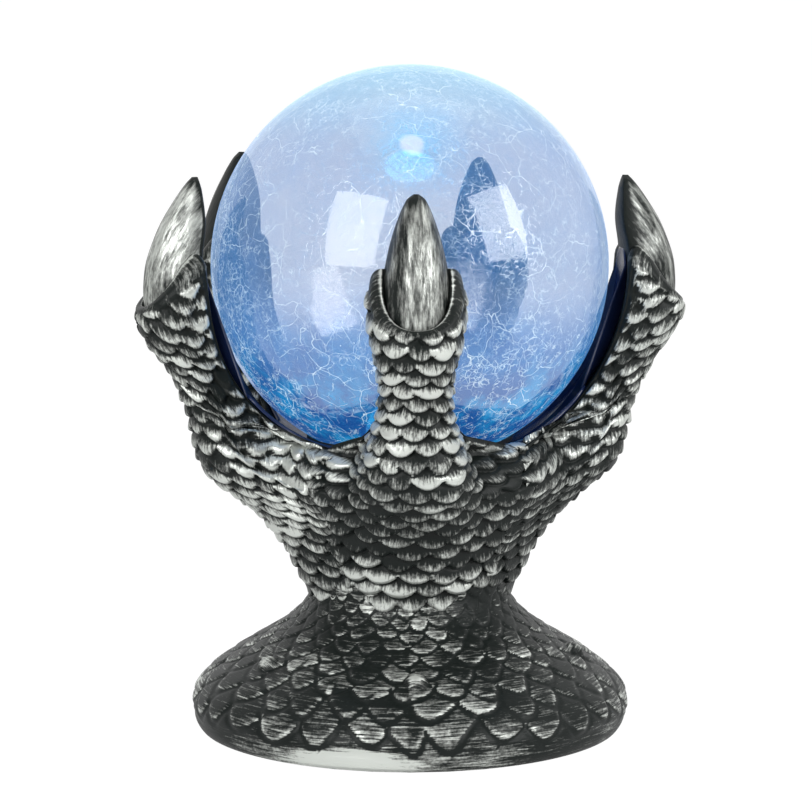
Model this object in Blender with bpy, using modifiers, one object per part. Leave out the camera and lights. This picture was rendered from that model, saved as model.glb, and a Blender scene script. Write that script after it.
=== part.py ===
"""A battery-lit crystal ball: a hollow crackle-glass globe that stands in a scaled claw.

The claw is two hollow half shells with five clawed fingers, closed on the ball side by a smooth cup
liner. The globe rests on a rubber ring in the liner and lifts straight out between the fingers. A lamp
tower stands in the globe's neck, and a battery tray, a switch and their wiring are in the foot.
The origin is on the globe's axis at the table, +Z is up and the front finger points along -Y.
"""

import math

import bmesh
import bpy
from mathutils import Vector

MM = 0.001

# Driving dimensions: globe and cup
GLOBE_RADIUS = 75 * MM
GLOBE_WALL = 2.5 * MM
GLOBE_CENTRE_Z = 176 * MM
NECK_RADIUS = 25 * MM
NECK_LENGTH = 7 * MM
CUP_GAP = 2.0 * MM
LINER_WALL = 2.3 * MM
SOCKET_PLAY = 2.0 * MM
SKIRT_STEP = 11 * MM
SEAT_WIDTH = 10 * MM
TONGUE_TOP = 8 * MM

# Driving dimensions: claw
BASE_RADIUS = 82.5 * MM
RIM_HEIGHT = 9 * MM
RIM_TUCK = 1.5 * MM
WAIST_RADIUS = 37.5 * MM
WAIST_Z = 54 * MM
PALM_RADIUS = 59 * MM
PALM_BELOW = 4 * MM
WEB_ABOVE = 11 * MM
RIM_WALL = 2.2 * MM
SHELL_WALL = 3 * MM
SEAM_GAP = 0.3 * MM
LEDGE_BELOW = 12 * MM
LEDGE_THICKNESS = 3 * MM
LEDGE_BORE = 28 * MM

# Where each finger stands round the axis, in degrees from the front towards +X
FINGER_ANGLES = {"front": 1.5, "right": 97, "rear_right": 160, "rear_left": 233, "left": 285}

# Finger sections from root to collar, in hundredths of the globe's radius: outer edge past the globe's
# equator and above its centre, inner edge the same way, and half width. The root sinks into the waist.
FINGER_STATIONS = (
    (-54.7, -152, -82.7, -142.7, 16),
    (-37.3, -141.3, -76, -128, 20.7),
    (-20, -124, -70.7, -108, 22.7),
    (-2.7, -108, -60, -90.7, 22.7),
    (8.7, -96, -53.3, -77.3, 20.7),
    (12, -81.3, -40, -66.7, 18.7),
    (16, -66.7, -26.7, -56, 17.3),
    (24, -50.7, -18.7, -44, 17.7),
    (33.3, -36, -10.7, -32, 20),
    (40, -22.7, -8, -14.7, 22.1),
    (39.3, -17.3, -5.3, 6.7, 21.6),
)
# Nail sections from inside the collar to the tip, written the same way
NAIL_STATIONS = (
    (32, -24, 8, -5.3, 15.3),
    (34.7, -8, 7.5, 13.3, 16.4),
    (32.7, 4, 7.5, 20, 15.1),
    (28.7, 14.7, 8, 25.3, 12.9),
    (23.3, 25.3, 8.5, 32, 9.7),
    (17.3, 34.7, 9.1, 37.3, 5.9),
    (12, 42, 9.9, 42.7, 1.6),
)
FINGER_SQUARENESS = 2.6
NAIL_SQUARENESS = 2.2
# How much higher than the others a nail's tip stands
NAIL_RISE = {"rear_left": 6 * MM, "rear_right": 2 * MM}

# Driving dimensions: scales and spurs
SCALES_ROUND = 30
SCALE_RISE = 1.5 * MM
SCALE_SINK = 0.5 * MM
# Shares: a row's pitch to a scale's width, its notches and step to the pitch, a notch's rise to a tip's
ROW_PITCH = 0.8
ROW_NOTCH = 0.45
ROW_STEP = 0.1
NOTCH_RISE = 0.6
# Directions of a scaled finger's ring points: close together on its back, far apart on its inner side
SCALE_TURNS = (-100, -75, -50, -25, 0, 25, 50, 75, 100, 140, 180, 220)
SPUR_ANGLES = (2, 82, 155, 228, 303)
SPUR_Z = 29 * MM
SPUR_RADIUS = 4.5 * MM

# Driving dimensions: foot
PLATE_THICKNESS = 2.5 * MM
DOOR_LENGTH = 51 * MM
DOOR_WIDTH = 37 * MM
DOOR_OFFSET = 9 * MM
DOOR_THICKNESS = 2 * MM
TRAY_WALL = 1.5 * MM
TAB_WIDTH = 8 * MM
TAB_SPACING = 30 * MM
TAB_REACH = 3.3 * MM
TAB_THICKNESS = 1.3 * MM
CELL_RADIUS = 5.1 * MM
CELL_LENGTH = 44.5 * MM
CELL_COUNT = 3
CELL_PITCH = 11.3 * MM
NUB_RADIUS = 1.9 * MM
NUB_LENGTH = 1.0 * MM
SPRING_LENGTH = 5.4 * MM
SPRING_RADIUS = 3.0 * MM
SPRING_WIRE = 0.6 * MM
SPRING_TURNS = 4
CONTACT_SIDE = 8 * MM
CONTACT_THICKNESS = 0.5 * MM

# Driving dimensions: lamp, board and switch
TOWER_RADIUS = 17 * MM
TOWER_WALL = 2 * MM
TOWER_RISE = 18 * MM
TOWER_STEP = 1 * MM
FLANGE_RADIUS = 28 * MM
FLANGE_THICKNESS = 2 * MM
DECK_THICKNESS = 2.7 * MM
DECK_BORE = 20 * MM
BOARD_THICKNESS = 1.6 * MM
LENS_WALL = 1.8 * MM
LED_RADIUS = 2.5 * MM
LED_HEIGHT = 8.5 * MM
LED_CIRCLE = 6 * MM
CONTROL_LENGTH = 26 * MM
CONTROL_WIDTH = 16 * MM
CONTROL_Y = -32 * MM
SWITCH_TRAVEL = 4 * MM
KNOB_SIDE = 3 * MM
KNOB_RECESS = 0.5 * MM
SWITCH_PLAY = 0.5 * MM
SWITCH_WIDTH = 5 * MM
SWITCH_HEIGHT = 3.6 * MM
LEAD_RADIUS = 0.7 * MM

# Driving dimensions: fasteners and fits
SCREW_RADIUS = 1.2 * MM
SCREW_HEAD_RADIUS = 2.6 * MM
SCREW_HEAD_HEIGHT = 1.5 * MM
BOSS_RADIUS = 3.5 * MM
BOSS_CIRCLE = 65.5 * MM
BASE_SCREW_ANGLES = (45, 135, 225, 315)
LINER_SCREW_ANGLES = (45, 135, 225, 315)
LINER_SCREW_CIRCLE = 33 * MM
TOWER_SCREW_ANGLES = (30, 150, 270)
TOWER_SCREW_CIRCLE = 22.8 * MM
CLEARANCE = 0.3 * MM

# Mesh fineness
GLOBE_STEPS = 36
COLUMN_STEPS = 36
TOWER_STEPS = 24
SMALL_STEPS = 12
SPUR_STEPS = 8
ROWS_PER_STATION = 2
RING_TURNS = tuple(36 * i + 18 for i in range(10))
OVERSIZE = 5 * MM
WELD = 0.002 * MM

# Derived dimensions
CUP_RADIUS = GLOBE_RADIUS + CUP_GAP
LINER_OUTER = CUP_RADIUS + LINER_WALL
POCKET_RADIUS = LINER_OUTER + CLEARANCE
GLOBE_BOTTOM_Z = GLOBE_CENTRE_Z - GLOBE_RADIUS
WEB_DROP = GLOBE_RADIUS - WEB_ABOVE
WEB_Z = GLOBE_BOTTOM_Z + WEB_ABOVE
WEB_RADIUS = math.sqrt(POCKET_RADIUS**2 - WEB_DROP**2) + RIM_WALL
PALM_Z = GLOBE_BOTTOM_Z - PALM_BELOW
LEDGE_Z = GLOBE_BOTTOM_Z - LEDGE_BELOW
DECK_Z = LEDGE_Z + CLEARANCE
DECK_TOP = DECK_Z + DECK_THICKNESS
FLANGE_Z = DECK_TOP + CLEARANCE
SOCKET_RADIUS = NECK_RADIUS + SOCKET_PLAY
RIM_BOTTOM = CLEARANCE
PLATE_RADIUS = BASE_RADIUS - SHELL_WALL - CLEARANCE
PLATE_TOP = PLATE_THICKNESS
DOOR_Z = CLEARANCE
DOOR_TOP = DOOR_Z + DOOR_THICKNESS
TRAY_Z = PLATE_TOP + CLEARANCE
CELL_Z = TRAY_Z + CLEARANCE + CELL_RADIUS
TRAY_TOP = CELL_Z + CELL_RADIUS + CLEARANCE + TRAY_WALL
TRAY_INSIDE = CELL_LENGTH + SPRING_LENGTH + CONTACT_THICKNESS + 4 * CLEARANCE
HINGE_Y = DOOR_OFFSET + DOOR_WIDTH - CLEARANCE
HOLE_RADIUS = SCREW_RADIUS + CLEARANCE
SWITCH_LENGTH = CONTROL_LENGTH - 4 * BOSS_RADIUS - 2 * SWITCH_PLAY

PARTS = None
HELPERS = None


def clear_scene():
    """Empties the scene and makes the collection for the pieces and the one for their cutters."""
    global PARTS, HELPERS
    for obj in list(bpy.data.objects):
        bpy.data.objects.remove(obj)
    PARTS = bpy.data.collections.new("crystal_ball")
    HELPERS = bpy.data.collections.new("cutters")
    for collection in (PARTS, HELPERS):
        bpy.context.scene.collection.children.link(collection)


def finish(name, colour, roughness, metallic=0.0, alpha=1.0):
    """A plain material for one kind of surface, made once and shared."""
    material = bpy.data.materials.get(name)
    if material is None:
        material = bpy.data.materials.new(name)
        material.use_nodes = True
        shader = material.node_tree.nodes["Principled BSDF"]
        shader.inputs["Base Color"].default_value = (*colour, 1)
        shader.inputs["Roughness"].default_value = roughness
        shader.inputs["Metallic"].default_value = metallic
        shader.inputs["Alpha"].default_value = alpha
    return material


def silver():
    return finish("brushed_silver_paint", (0.36, 0.37, 0.36), 0.42, 0.6)


def black_plastic():
    return finish("black_plastic", (0.02, 0.02, 0.024), 0.45)


def white_plastic():
    return finish("white_plastic", (0.85, 0.86, 0.86), 0.5)


def glass():
    return finish("crackle_glass", (0.62, 0.72, 0.95), 0.05, 0.0, 0.4)


def steel():
    return finish("plated_steel", (0.6, 0.6, 0.6), 0.3, 1.0)


def circuit():
    return finish("circuit_board", (0.05, 0.22, 0.1), 0.5)


def rubber():
    return finish("black_rubber", (0.03, 0.03, 0.03), 0.8)


def place(obj, material=None):
    """Puts an object in the scene: as a piece with its material, or as a hidden cutter without one."""
    if material is None:
        HELPERS.objects.link(obj)
        obj.hide_render = True
        obj.display_type = "WIRE"
    else:
        PARTS.objects.link(obj)
        obj.data.materials.append(material)
    return obj


def smooth(obj, angle=35):
    """Shades the rounded stretches of a piece smooth and keeps its corners sharp."""
    obj.data.shade_smooth()
    obj.data.set_sharp_from_angle(angle=math.radians(angle))
    return obj


def turned(name, profile, steps, material=None, closed=True):
    """A turned shape: a profile of (radius, height) points that runs down its outer side, spun about Z."""
    mesh = bpy.data.meshes.new(name)
    points = [(radius, 0, height) for radius, height in profile]
    edges = [(i, i + 1) for i in range(len(points) - 1)]
    if closed:
        edges.append((len(points) - 1, 0))
    mesh.from_pydata(points, edges, [])
    obj = place(bpy.data.objects.new(name, mesh), material)
    screw = obj.modifiers.new("Turn", "SCREW")
    screw.steps = steps
    screw.render_steps = steps
    screw.use_merge_vertices = True
    screw.merge_threshold = 0.00001
    screw.use_smooth_shade = True
    return obj


def box(name, low, high, material=None):
    """A rectangular block between two corners."""
    mesh = bpy.data.meshes.new(name)
    form = bmesh.new()
    bmesh.ops.create_cube(form, size=1)
    size = Vector(high) - Vector(low)
    bmesh.ops.scale(form, vec=size, verts=form.verts)
    form.to_mesh(mesh)
    form.free()
    obj = place(bpy.data.objects.new(name, mesh), material)
    obj.location = (Vector(low) + Vector(high)) / 2
    return obj


def rod(name, centre, radius, low_z, high_z, material=None):
    """An upright round bar, or the cutter for a round hole."""
    mesh = bpy.data.meshes.new(name)
    form = bmesh.new()
    bmesh.ops.create_cone(
        form, cap_ends=True, segments=SMALL_STEPS, radius1=radius, radius2=radius, depth=high_z - low_z
    )
    form.to_mesh(mesh)
    form.free()
    obj = place(bpy.data.objects.new(name, mesh), material)
    obj.location = (centre[0], centre[1], (low_z + high_z) / 2)
    return obj


def cut(obj, other, operation="DIFFERENCE", solver="EXACT"):
    """Cuts one object by another, joins them, or keeps what they share."""
    modifier = obj.modifiers.new(operation.title(), "BOOLEAN")
    modifier.operation = operation
    modifier.solver = solver
    modifier.object = other
    return obj


def baked(obj, name, material=None):
    """A new plain mesh object with the shape that another object's modifiers give, free of slivers."""
    graph = bpy.context.evaluated_depsgraph_get()
    mesh = bpy.data.meshes.new_from_object(obj.evaluated_get(graph))
    mesh.name = name
    mesh.materials.clear()
    form = bmesh.new()
    form.from_mesh(mesh)
    bmesh.ops.remove_doubles(form, verts=form.verts, dist=WELD)
    bmesh.ops.dissolve_degenerate(form, edges=form.edges, dist=WELD)
    form.to_mesh(mesh)
    form.free()
    result = bpy.data.objects.new(name, mesh)
    result.matrix_world = obj.matrix_world
    return place(result, material)


def step(obj, other, operation="DIFFERENCE"):
    """One cut or join of a rounded form, worked out at once so that the next starts from a plain mesh."""
    return baked(cut(obj, other, operation, "MANIFOLD"), f"{other.name}_done")


def around(radius, degrees):
    """The point at a radius and an angle from the front towards +X."""
    angle = math.radians(degrees)
    return Vector((radius * math.sin(angle), -radius * math.cos(angle), 0))


def arc(radius, start, end, count, centre_z=GLOBE_CENTRE_Z):
    """Points (radius, height) on a circle about the globe's centre, by angle down from the top."""
    angles = [start + (end - start) * i / (count - 1) for i in range(count)]
    return [(radius * math.sin(a), centre_z + radius * math.cos(a)) for a in angles]


def angle_at_radius(sphere, radius):
    """How far down from the top a sphere's lower half reaches this distance from the axis."""
    return math.pi - math.asin(radius / sphere)


def angle_at_height(sphere, height):
    """How far down from the top a sphere about the globe's centre reaches this height."""
    return math.acos((height - GLOBE_CENTRE_Z) / sphere)


def column_radius(height):
    """Outside radius of the claw's foot, waist and palm between the fingers."""
    if height <= RIM_HEIGHT:
        share = (height - RIM_BOTTOM) / (RIM_HEIGHT - RIM_BOTTOM)
        return BASE_RADIUS - RIM_TUCK * (1 - share) ** 2
    if height <= WAIST_Z:
        share = (height - RIM_HEIGHT) / (WAIST_Z - RIM_HEIGHT)
        return WAIST_RADIUS + (BASE_RADIUS - WAIST_RADIUS) * math.cos(share * math.pi / 2) ** 2.15
    if height <= PALM_Z:
        share = (height - WAIST_Z) / (PALM_Z - WAIST_Z)
        return WAIST_RADIUS + (PALM_RADIUS - WAIST_RADIUS) * share**1.5
    share = min(1, (height - PALM_Z) / (WEB_Z - PALM_Z))
    return WEB_RADIUS + (PALM_RADIUS - WEB_RADIUS) * math.sqrt(1 - share**2)


def cavity_radius(height):
    """Inside radius of the claw's wall, set in square to the outside."""
    if height >= PALM_Z:
        share = min(1, (height - PALM_Z) / (WEB_Z - SHELL_WALL - PALM_Z))
        return WEB_RADIUS + (PALM_RADIUS - SHELL_WALL - WEB_RADIUS) * math.sqrt(1 - share**2)
    nudge = 0.5 * MM
    slope = (column_radius(height + nudge) - column_radius(height - nudge)) / (2 * nudge)
    return column_radius(height) - SHELL_WALL * math.sqrt(1 + slope**2)


def heights(low, high, count):
    return [low + (high - low) * i / (count - 1) for i in range(count)]


def through_stations(stations, per_span):
    """Stations on a smooth Catmull-Rom curve through the given ones."""
    ends = (stations[0], *stations, stations[-1])
    result = []
    for i in range(len(stations) - 1):
        a, b, c, d = ends[i : i + 4]
        for k in range(per_span):
            t = k / per_span
            result.append([
                0.5 * (2 * q + (r - p) * t + (2 * p - 5 * q + 4 * r - s) * t**2 + (3 * q - p - 3 * r + s) * t**3)
                for p, q, r, s in zip(a, b, c, d)
            ])
    result.append(list(stations[-1]))
    return result


def section(station, squareness, inset, turns=RING_TURNS):
    """One ring of a finger in its own plane: points as (outwards, sideways, up)."""
    outer_r, outer_z, inner_r, inner_z, half = (value / 100 * GLOBE_RADIUS for value in station)
    outer = Vector((GLOBE_RADIUS + outer_r - inset, 0, GLOBE_CENTRE_Z + outer_z))
    inner = Vector((GLOBE_RADIUS + inner_r, 0, GLOBE_CENTRE_Z + inner_z))
    middle = (outer + inner) / 2
    reach = (outer - inner) / 2
    ring = []
    for turn in map(math.radians, turns):
        along = math.copysign(abs(math.cos(turn)) ** (2 / squareness), math.cos(turn))
        across = math.copysign(abs(math.sin(turn)) ** (2 / squareness), math.sin(turn))
        point = middle + reach * along
        point.y = (half - inset) * across
        ring.append(point)
    return ring


def between(low, high, share):
    """The numbers at a share of the way from one list to another."""
    return [a + share * (b - a) for a, b in zip(low, high)]


def alternate(tips, notches, number):
    """A ring that takes every other point from each of two, the other way round on every other row."""
    return [pair[(i + number) % 2] for i, pair in enumerate(zip(tips, notches))]


def row_rings(ring_at, number):
    """A row of scales as two zigzag rings: the skin under the free edges, and the raised edges over it."""
    under = alternate(ring_at(0, 0), ring_at(ROW_NOTCH, 0), number)
    tips = ring_at(ROW_STEP, SCALE_RISE)
    notches = ring_at(ROW_NOTCH + ROW_STEP, NOTCH_RISE * SCALE_RISE)
    return [under, alternate(tips, notches, number)]


def scale_rows(low, high):
    """Heights of the rows of scales up the column, a share of a scale's width apart along its skin."""
    rows = [low]
    while rows[-1] < high:
        z = rows[-1]
        slope = (column_radius(z + MM) - column_radius(z)) / MM
        pitch = ROW_PITCH * 2 * math.pi * column_radius(z) / SCALES_ROUND
        rows.append(z + pitch / math.sqrt(1 + slope**2))
    return rows[:-1]


def column_ring(height, rise=0.0):
    """One level ring of the column, standing out by a rise."""
    count = 2 * SCALES_ROUND
    radius = column_radius(height) + rise
    return [around(radius, 360 * i / count) + Vector((0, 0, height)) for i in range(count)]


def scaled_column():
    """Foot, waist and palm in one skin: a plain rim, brick-set rows of scales and the rounded web."""
    rings = [column_ring(z) for z in heights(RIM_BOTTOM, RIM_HEIGHT, 3)[:-1]]
    rows = scale_rows(RIM_HEIGHT, PALM_Z)
    for number, (low, high) in enumerate(zip(rows, rows[1:])):
        rings += row_rings(lambda share, rise: column_ring(low + share * (high - low), rise), number)
    rings += [column_ring(z) for z in (*heights(PALM_Z, WEB_Z - RIM_WALL, 3), WEB_Z)]
    return skin("claw_blank", rings)


def loft(name, rings, degrees):
    """A closed skin over rings of points, turned to a finger's angle round the axis."""
    outwards = around(1, degrees)
    sideways = Vector((-outwards.y, outwards.x, 0))
    turned_rings = [[outwards * p.x + sideways * p.y + Vector((0, 0, p.z)) for p in ring] for ring in rings]
    return skin(name, turned_rings)


def skin(name, rings):
    """A closed skin over rings of points, from the lowest ring to the highest."""
    form = bmesh.new()
    rows = [[form.verts.new(p) for p in ring] for ring in rings]
    for low, high in zip(rows, rows[1:]):
        for i in range(len(low)):
            k = (i + 1) % len(low)
            form.faces.new((low[i], low[k], high[k], high[i]))
    form.faces.new(reversed(rows[0]))
    form.faces.new(rows[-1])
    bmesh.ops.recalc_face_normals(form, faces=form.faces)
    mesh = bpy.data.meshes.new(name)
    form.to_mesh(mesh)
    form.free()
    return place(bpy.data.objects.new(name, mesh))


def finger_loft(name, degrees, inset=0.0, stations=FINGER_STATIONS):
    """A plain finger from its root in the waist to its slanted collar, or a slimmer one inside it."""
    return loft(name, [section(s, FINGER_SQUARENESS, inset) for s in stations], degrees)


def scaled_finger(name, degrees):
    """A finger with rows of scales from its root to its slanted collar."""
    stations = through_stations(FINGER_STATIONS, ROWS_PER_STATION)

    def ring(station, rise):
        return section(station, FINGER_SQUARENESS, SCALE_SINK - rise, SCALE_TURNS)

    rings = [ring(stations[0], 0)]
    for number, (low, high) in enumerate(zip(stations[1:], stations[2:])):
        rings += row_rings(lambda share, rise: ring(between(low, high, share), rise), number)
    rings.append(ring(stations[-1], SCALE_SINK))
    return loft(name, rings, degrees)


def nail_loft(name, degrees, rise):
    """A nail from inside the collar to its tip, which stands higher by the rise."""
    rings = [section(s, NAIL_SQUARENESS, 0) for s in NAIL_STATIONS]
    for number, ring in enumerate(rings):
        for point in ring:
            point.z += rise * number / (len(rings) - 1)
    return loft(name, rings, degrees)


def spur(name, degrees):
    """A round nub on the foot's skirt, half sunk in it."""
    mesh = bpy.data.meshes.new(name)
    form = bmesh.new()
    bmesh.ops.create_uvsphere(form, u_segments=SPUR_STEPS, v_segments=SPUR_STEPS - 2, radius=SPUR_RADIUS)
    form.to_mesh(mesh)
    form.free()
    obj = place(bpy.data.objects.new(name, mesh))
    obj.location = around(column_radius(SPUR_Z), degrees) + Vector((0, 0, SPUR_Z))
    return obj


def screw(name, centre, head_z, length, points_up, material):
    """A pan-head screw: its head's outer face is at head_z and its shank runs up or down from it."""
    way = 1 if points_up else -1
    under = head_z + way * SCREW_HEAD_HEIGHT
    tip = under + way * length
    profile = [
        (0, head_z),
        (SCREW_HEAD_RADIUS * 0.8, head_z),
        (SCREW_HEAD_RADIUS, under),
        (SCREW_RADIUS, under),
        (SCREW_RADIUS, tip),
        (0, tip),
    ]
    if points_up:
        profile.reverse()
    obj = turned(name, profile, SMALL_STEPS, material, closed=False)
    obj.location = (centre[0], centre[1], 0)
    return obj


def make_globe():
    """The hollow globe with its short open neck."""
    inner_radius = GLOBE_RADIUS - GLOBE_WALL
    bore = NECK_RADIUS - GLOBE_WALL
    shoulder = angle_at_radius(GLOBE_RADIUS, NECK_RADIUS)
    outer = arc(GLOBE_RADIUS, 0, shoulder, 13)
    inner = arc(inner_radius, 0, angle_at_radius(inner_radius, bore), 11)
    outer[0] = (0, GLOBE_CENTRE_Z + GLOBE_RADIUS)
    inner[0] = (0, GLOBE_CENTRE_Z + inner_radius)
    mouth = outer[-1][1] - NECK_LENGTH
    profile = outer + [(NECK_RADIUS, mouth), (bore, mouth)] + inner[::-1]
    turned("crackle_globe", profile, GLOBE_STEPS, glass(), closed=False)


def make_seat_ring():
    """The rubber ring between the globe and the bottom of the cup."""
    inner_edge = SOCKET_RADIUS + SOCKET_PLAY
    outer_edge = inner_edge + SEAT_WIDTH
    upper = GLOBE_RADIUS + CLEARANCE
    lower = CUP_RADIUS - CLEARANCE
    top = arc(upper, angle_at_radius(upper, inner_edge), angle_at_radius(upper, outer_edge), 3)
    bottom = arc(lower, angle_at_radius(lower, outer_edge), angle_at_radius(lower, inner_edge), 3)
    turned("globe_seat_ring", top + bottom, COLUMN_STEPS, rubber())


def make_liner():
    """The smooth cup: bowl, tongues up the fingers' backs, and a skirt and deck that stand on the ledge."""
    skirt_inner = SOCKET_RADIUS + SKIRT_STEP
    skirt = skirt_inner + LINER_WALL
    top_z = GLOBE_CENTRE_Z + TONGUE_TOP
    inside = arc(CUP_RADIUS, math.pi / 2, angle_at_radius(CUP_RADIUS, SOCKET_RADIUS), 11)
    under = arc(
        LINER_OUTER,
        angle_at_radius(LINER_OUTER, SOCKET_RADIUS),
        angle_at_radius(LINER_OUTER, skirt_inner),
        3,
    )
    outside = arc(LINER_OUTER, angle_at_radius(LINER_OUTER, skirt), math.pi / 2, 7)
    profile = [(CUP_RADIUS, top_z)] + inside + under
    profile += [(skirt_inner, DECK_TOP), (DECK_BORE, DECK_TOP), (DECK_BORE, DECK_Z), (skirt, DECK_Z)]
    profile += outside + [(LINER_OUTER, top_z)]
    whole = turned("liner_blank", profile[::-1], COLUMN_STEPS)
    keeper = rod("bowl_keeper", (0, 0), POCKET_RADIUS, DECK_Z - OVERSIZE, WEB_Z)
    for name, degrees in FINGER_ANGLES.items():
        tongue = finger_loft(f"{name}_tongue_keeper", degrees, inset=2 * CLEARANCE)
        cut(keeper, tongue, "UNION")
    cut(whole, keeper, "INTERSECT")
    drill(whole, LINER_SCREW_CIRCLE, LINER_SCREW_ANGLES, DECK_Z, DECK_TOP, "liner_deck")
    drill(whole, TOWER_SCREW_CIRCLE, TOWER_SCREW_ANGLES, DECK_Z, DECK_TOP, "tower_deck")
    smooth(baked(whole, "cup_liner", black_plastic()))


def drill(obj, circle, angles, low_z, high_z, label, radius=None):
    """Round holes on a circle about the axis, through a plate between two heights."""
    for number, degrees in enumerate(angles, 1):
        centre = around(circle, degrees)
        name = f"{label}_hole_{number}"
        cut(obj, rod(name, centre, radius or HOLE_RADIUS, low_z - CLEARANCE, high_z + CLEARANCE))


def make_cavity():
    """What is hollow inside the claw's foot, waist and palm, less the bosses for the base screws."""
    low = RIM_BOTTOM - OVERSIZE
    wall = [(cavity_radius(z), z) for z in heights(WEB_Z - SHELL_WALL, PALM_Z, 4)[:-1]]
    wall += [(cavity_radius(z), z) for z in heights(PALM_Z, WAIST_Z, 5)[:-1]]
    wall += [(cavity_radius(z), z) for z in heights(WAIST_Z, RIM_HEIGHT, 8)]
    plate_seat = PLATE_RADIUS + CLEARANCE
    profile = [(0, wall[0][1])] + wall
    profile += [(plate_seat, RIM_HEIGHT - CLEARANCE), (plate_seat, low), (0, low)]
    cavity = turned("claw_cavity", profile, COLUMN_STEPS, closed=False)
    for number, degrees in enumerate(BASE_SCREW_ANGLES, 1):
        bore_top = TRAY_Z + 4 * SCREW_HEAD_RADIUS
        profile = [(0, WAIST_Z), (BOSS_RADIUS, WAIST_Z), (BOSS_RADIUS, TRAY_Z), (HOLE_RADIUS, TRAY_Z)]
        profile += [(HOLE_RADIUS, bore_top), (0, bore_top)]
        boss = turned(f"boss_{number}", profile, SMALL_STEPS, closed=False)
        boss.location = around(BOSS_CIRCLE, degrees)
        cut(cavity, boss)
    return baked(cavity, "claw_cavity_with_bosses")


def make_ledge():
    """The ring inside the palm that the liner stands on, let into the wall round it."""
    low = LEDGE_Z - LEDGE_THICKNESS
    outer = cavity_radius(low) + SHELL_WALL / 2
    profile = [(outer, LEDGE_Z), (outer, low), (LEDGE_BORE, low), (LEDGE_BORE, LEDGE_Z)]
    ledge = turned("ledge_blank", profile, COLUMN_STEPS)
    drill(ledge, LINER_SCREW_CIRCLE, LINER_SCREW_ANGLES, low, LEDGE_Z, "ledge")
    return baked(ledge, "ledge")


def make_hollow():
    """All that is hollow in the claw: foot, waist and palm, the fingers, and the globe's pocket."""
    hollow = make_cavity()
    stations = FINGER_STATIONS[:-2]
    for name, degrees in FINGER_ANGLES.items():
        finger = finger_loft(f"{name}_hollow", degrees, inset=SHELL_WALL, stations=stations)
        hollow = step(hollow, finger, "UNION")
    hollow = step(hollow, make_pocket(), "UNION")
    return step(hollow, make_ledge())


def make_pocket():
    """The room that the liner and the globe take: a ball with a straight way up out of it."""
    bottom = arc(POCKET_RADIUS, math.pi / 2, math.pi, 10)
    bottom[-1] = (0, GLOBE_CENTRE_Z - POCKET_RADIUS)
    top = GLOBE_CENTRE_Z + GLOBE_RADIUS
    return turned("globe_pocket", [(0, top), (POCKET_RADIUS, top)] + bottom, COLUMN_STEPS, closed=False)


def make_shells():
    """The claw's two half shells, cut from one hollow claw along the plane through the front finger."""
    claw = scaled_column()
    for number, degrees in enumerate(SPUR_ANGLES, 1):
        claw = step(claw, spur(f"spur_{number}", degrees), "UNION")
    for name, degrees in FINGER_ANGLES.items():
        finger = scaled_finger(f"{name}_finger", degrees)
        finger = step(finger, nail_loft(f"{name}_nail", degrees, NAIL_RISE.get(name, 0)), "UNION")
        claw = step(claw, finger, "UNION")
    claw = step(claw, make_hollow())
    reach = 2 * BASE_RADIUS
    top = 2 * GLOBE_CENTRE_Z
    for side, way in (("left", -1), ("right", 1)):
        edges = sorted((way * SEAM_GAP / 2, way * reach))
        keeper = box(f"{side}_keeper", (edges[0], -reach, -reach), (edges[1], reach, top))
        half = cut(baked(claw, f"{side}_half"), keeper, "INTERSECT", "MANIFOLD")
        smooth(baked(half, f"outer_shell_{side}", silver()))


def make_lamp():
    """The lamp tower with its board, lamps and frosted lens."""
    bore = TOWER_RADIUS - TOWER_WALL
    top = FLANGE_Z + TOWER_RISE
    step_z = top - BOARD_THICKNESS - 3 * CLEARANCE
    flange_top = FLANGE_Z + FLANGE_THICKNESS
    outer = [(TOWER_RADIUS, top), (TOWER_RADIUS, flange_top), (FLANGE_RADIUS, flange_top)]
    inner = [(bore - TOWER_STEP, FLANGE_Z), (bore - TOWER_STEP, step_z), (bore, step_z), (bore, top)]
    profile = outer + [(FLANGE_RADIUS, FLANGE_Z)] + inner
    tower = turned("light_tower", profile, TOWER_STEPS, white_plastic())
    drill(tower, TOWER_SCREW_CIRCLE, TOWER_SCREW_ANGLES, FLANGE_Z, flange_top, "flange")
    board_z = step_z + CLEARANCE
    board_top = board_z + BOARD_THICKNESS
    rod("led_board", (0, 0), bore - CLEARANCE, board_z, board_top, circuit())
    for number in range(3):
        lamp_z = board_top + CLEARANCE
        shoulder = lamp_z + LED_HEIGHT - LED_RADIUS
        dome = [
            (LED_RADIUS * math.sin(math.radians(a)), shoulder + LED_RADIUS * math.cos(math.radians(a)))
            for a in (0, 30, 60, 90)
        ]
        lamp = turned(f"led_{number + 1}", dome + [(LED_RADIUS, lamp_z), (0, lamp_z)], 12,
                      finish("lamp_epoxy", (0.3, 0.55, 1.0), 0.1), closed=False)
        lamp.location = around(LED_CIRCLE, 120 * number)
    lens_z = top + CLEARANCE
    outer = arc(TOWER_RADIUS, 0, math.pi / 2, 6, lens_z)
    inner = arc(TOWER_RADIUS - LENS_WALL, math.pi / 2, 0, 6, lens_z)
    turned("led_lens", outer + inner, TOWER_STEPS, white_plastic(), closed=False)
    for number, degrees in enumerate(TOWER_SCREW_ANGLES, 1):
        head = flange_top + CLEARANCE + SCREW_HEAD_HEIGHT
        length = FLANGE_THICKNESS + DECK_THICKNESS
        screw(f"tower_screw_{number}", around(TOWER_SCREW_CIRCLE, degrees), head, length, False, steel())


def door_edges():
    """Low and high corners of the door opening in the plate, seen from above."""
    return (-DOOR_LENGTH / 2, DOOR_OFFSET), (DOOR_LENGTH / 2, DOOR_OFFSET + DOOR_WIDTH)


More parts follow.
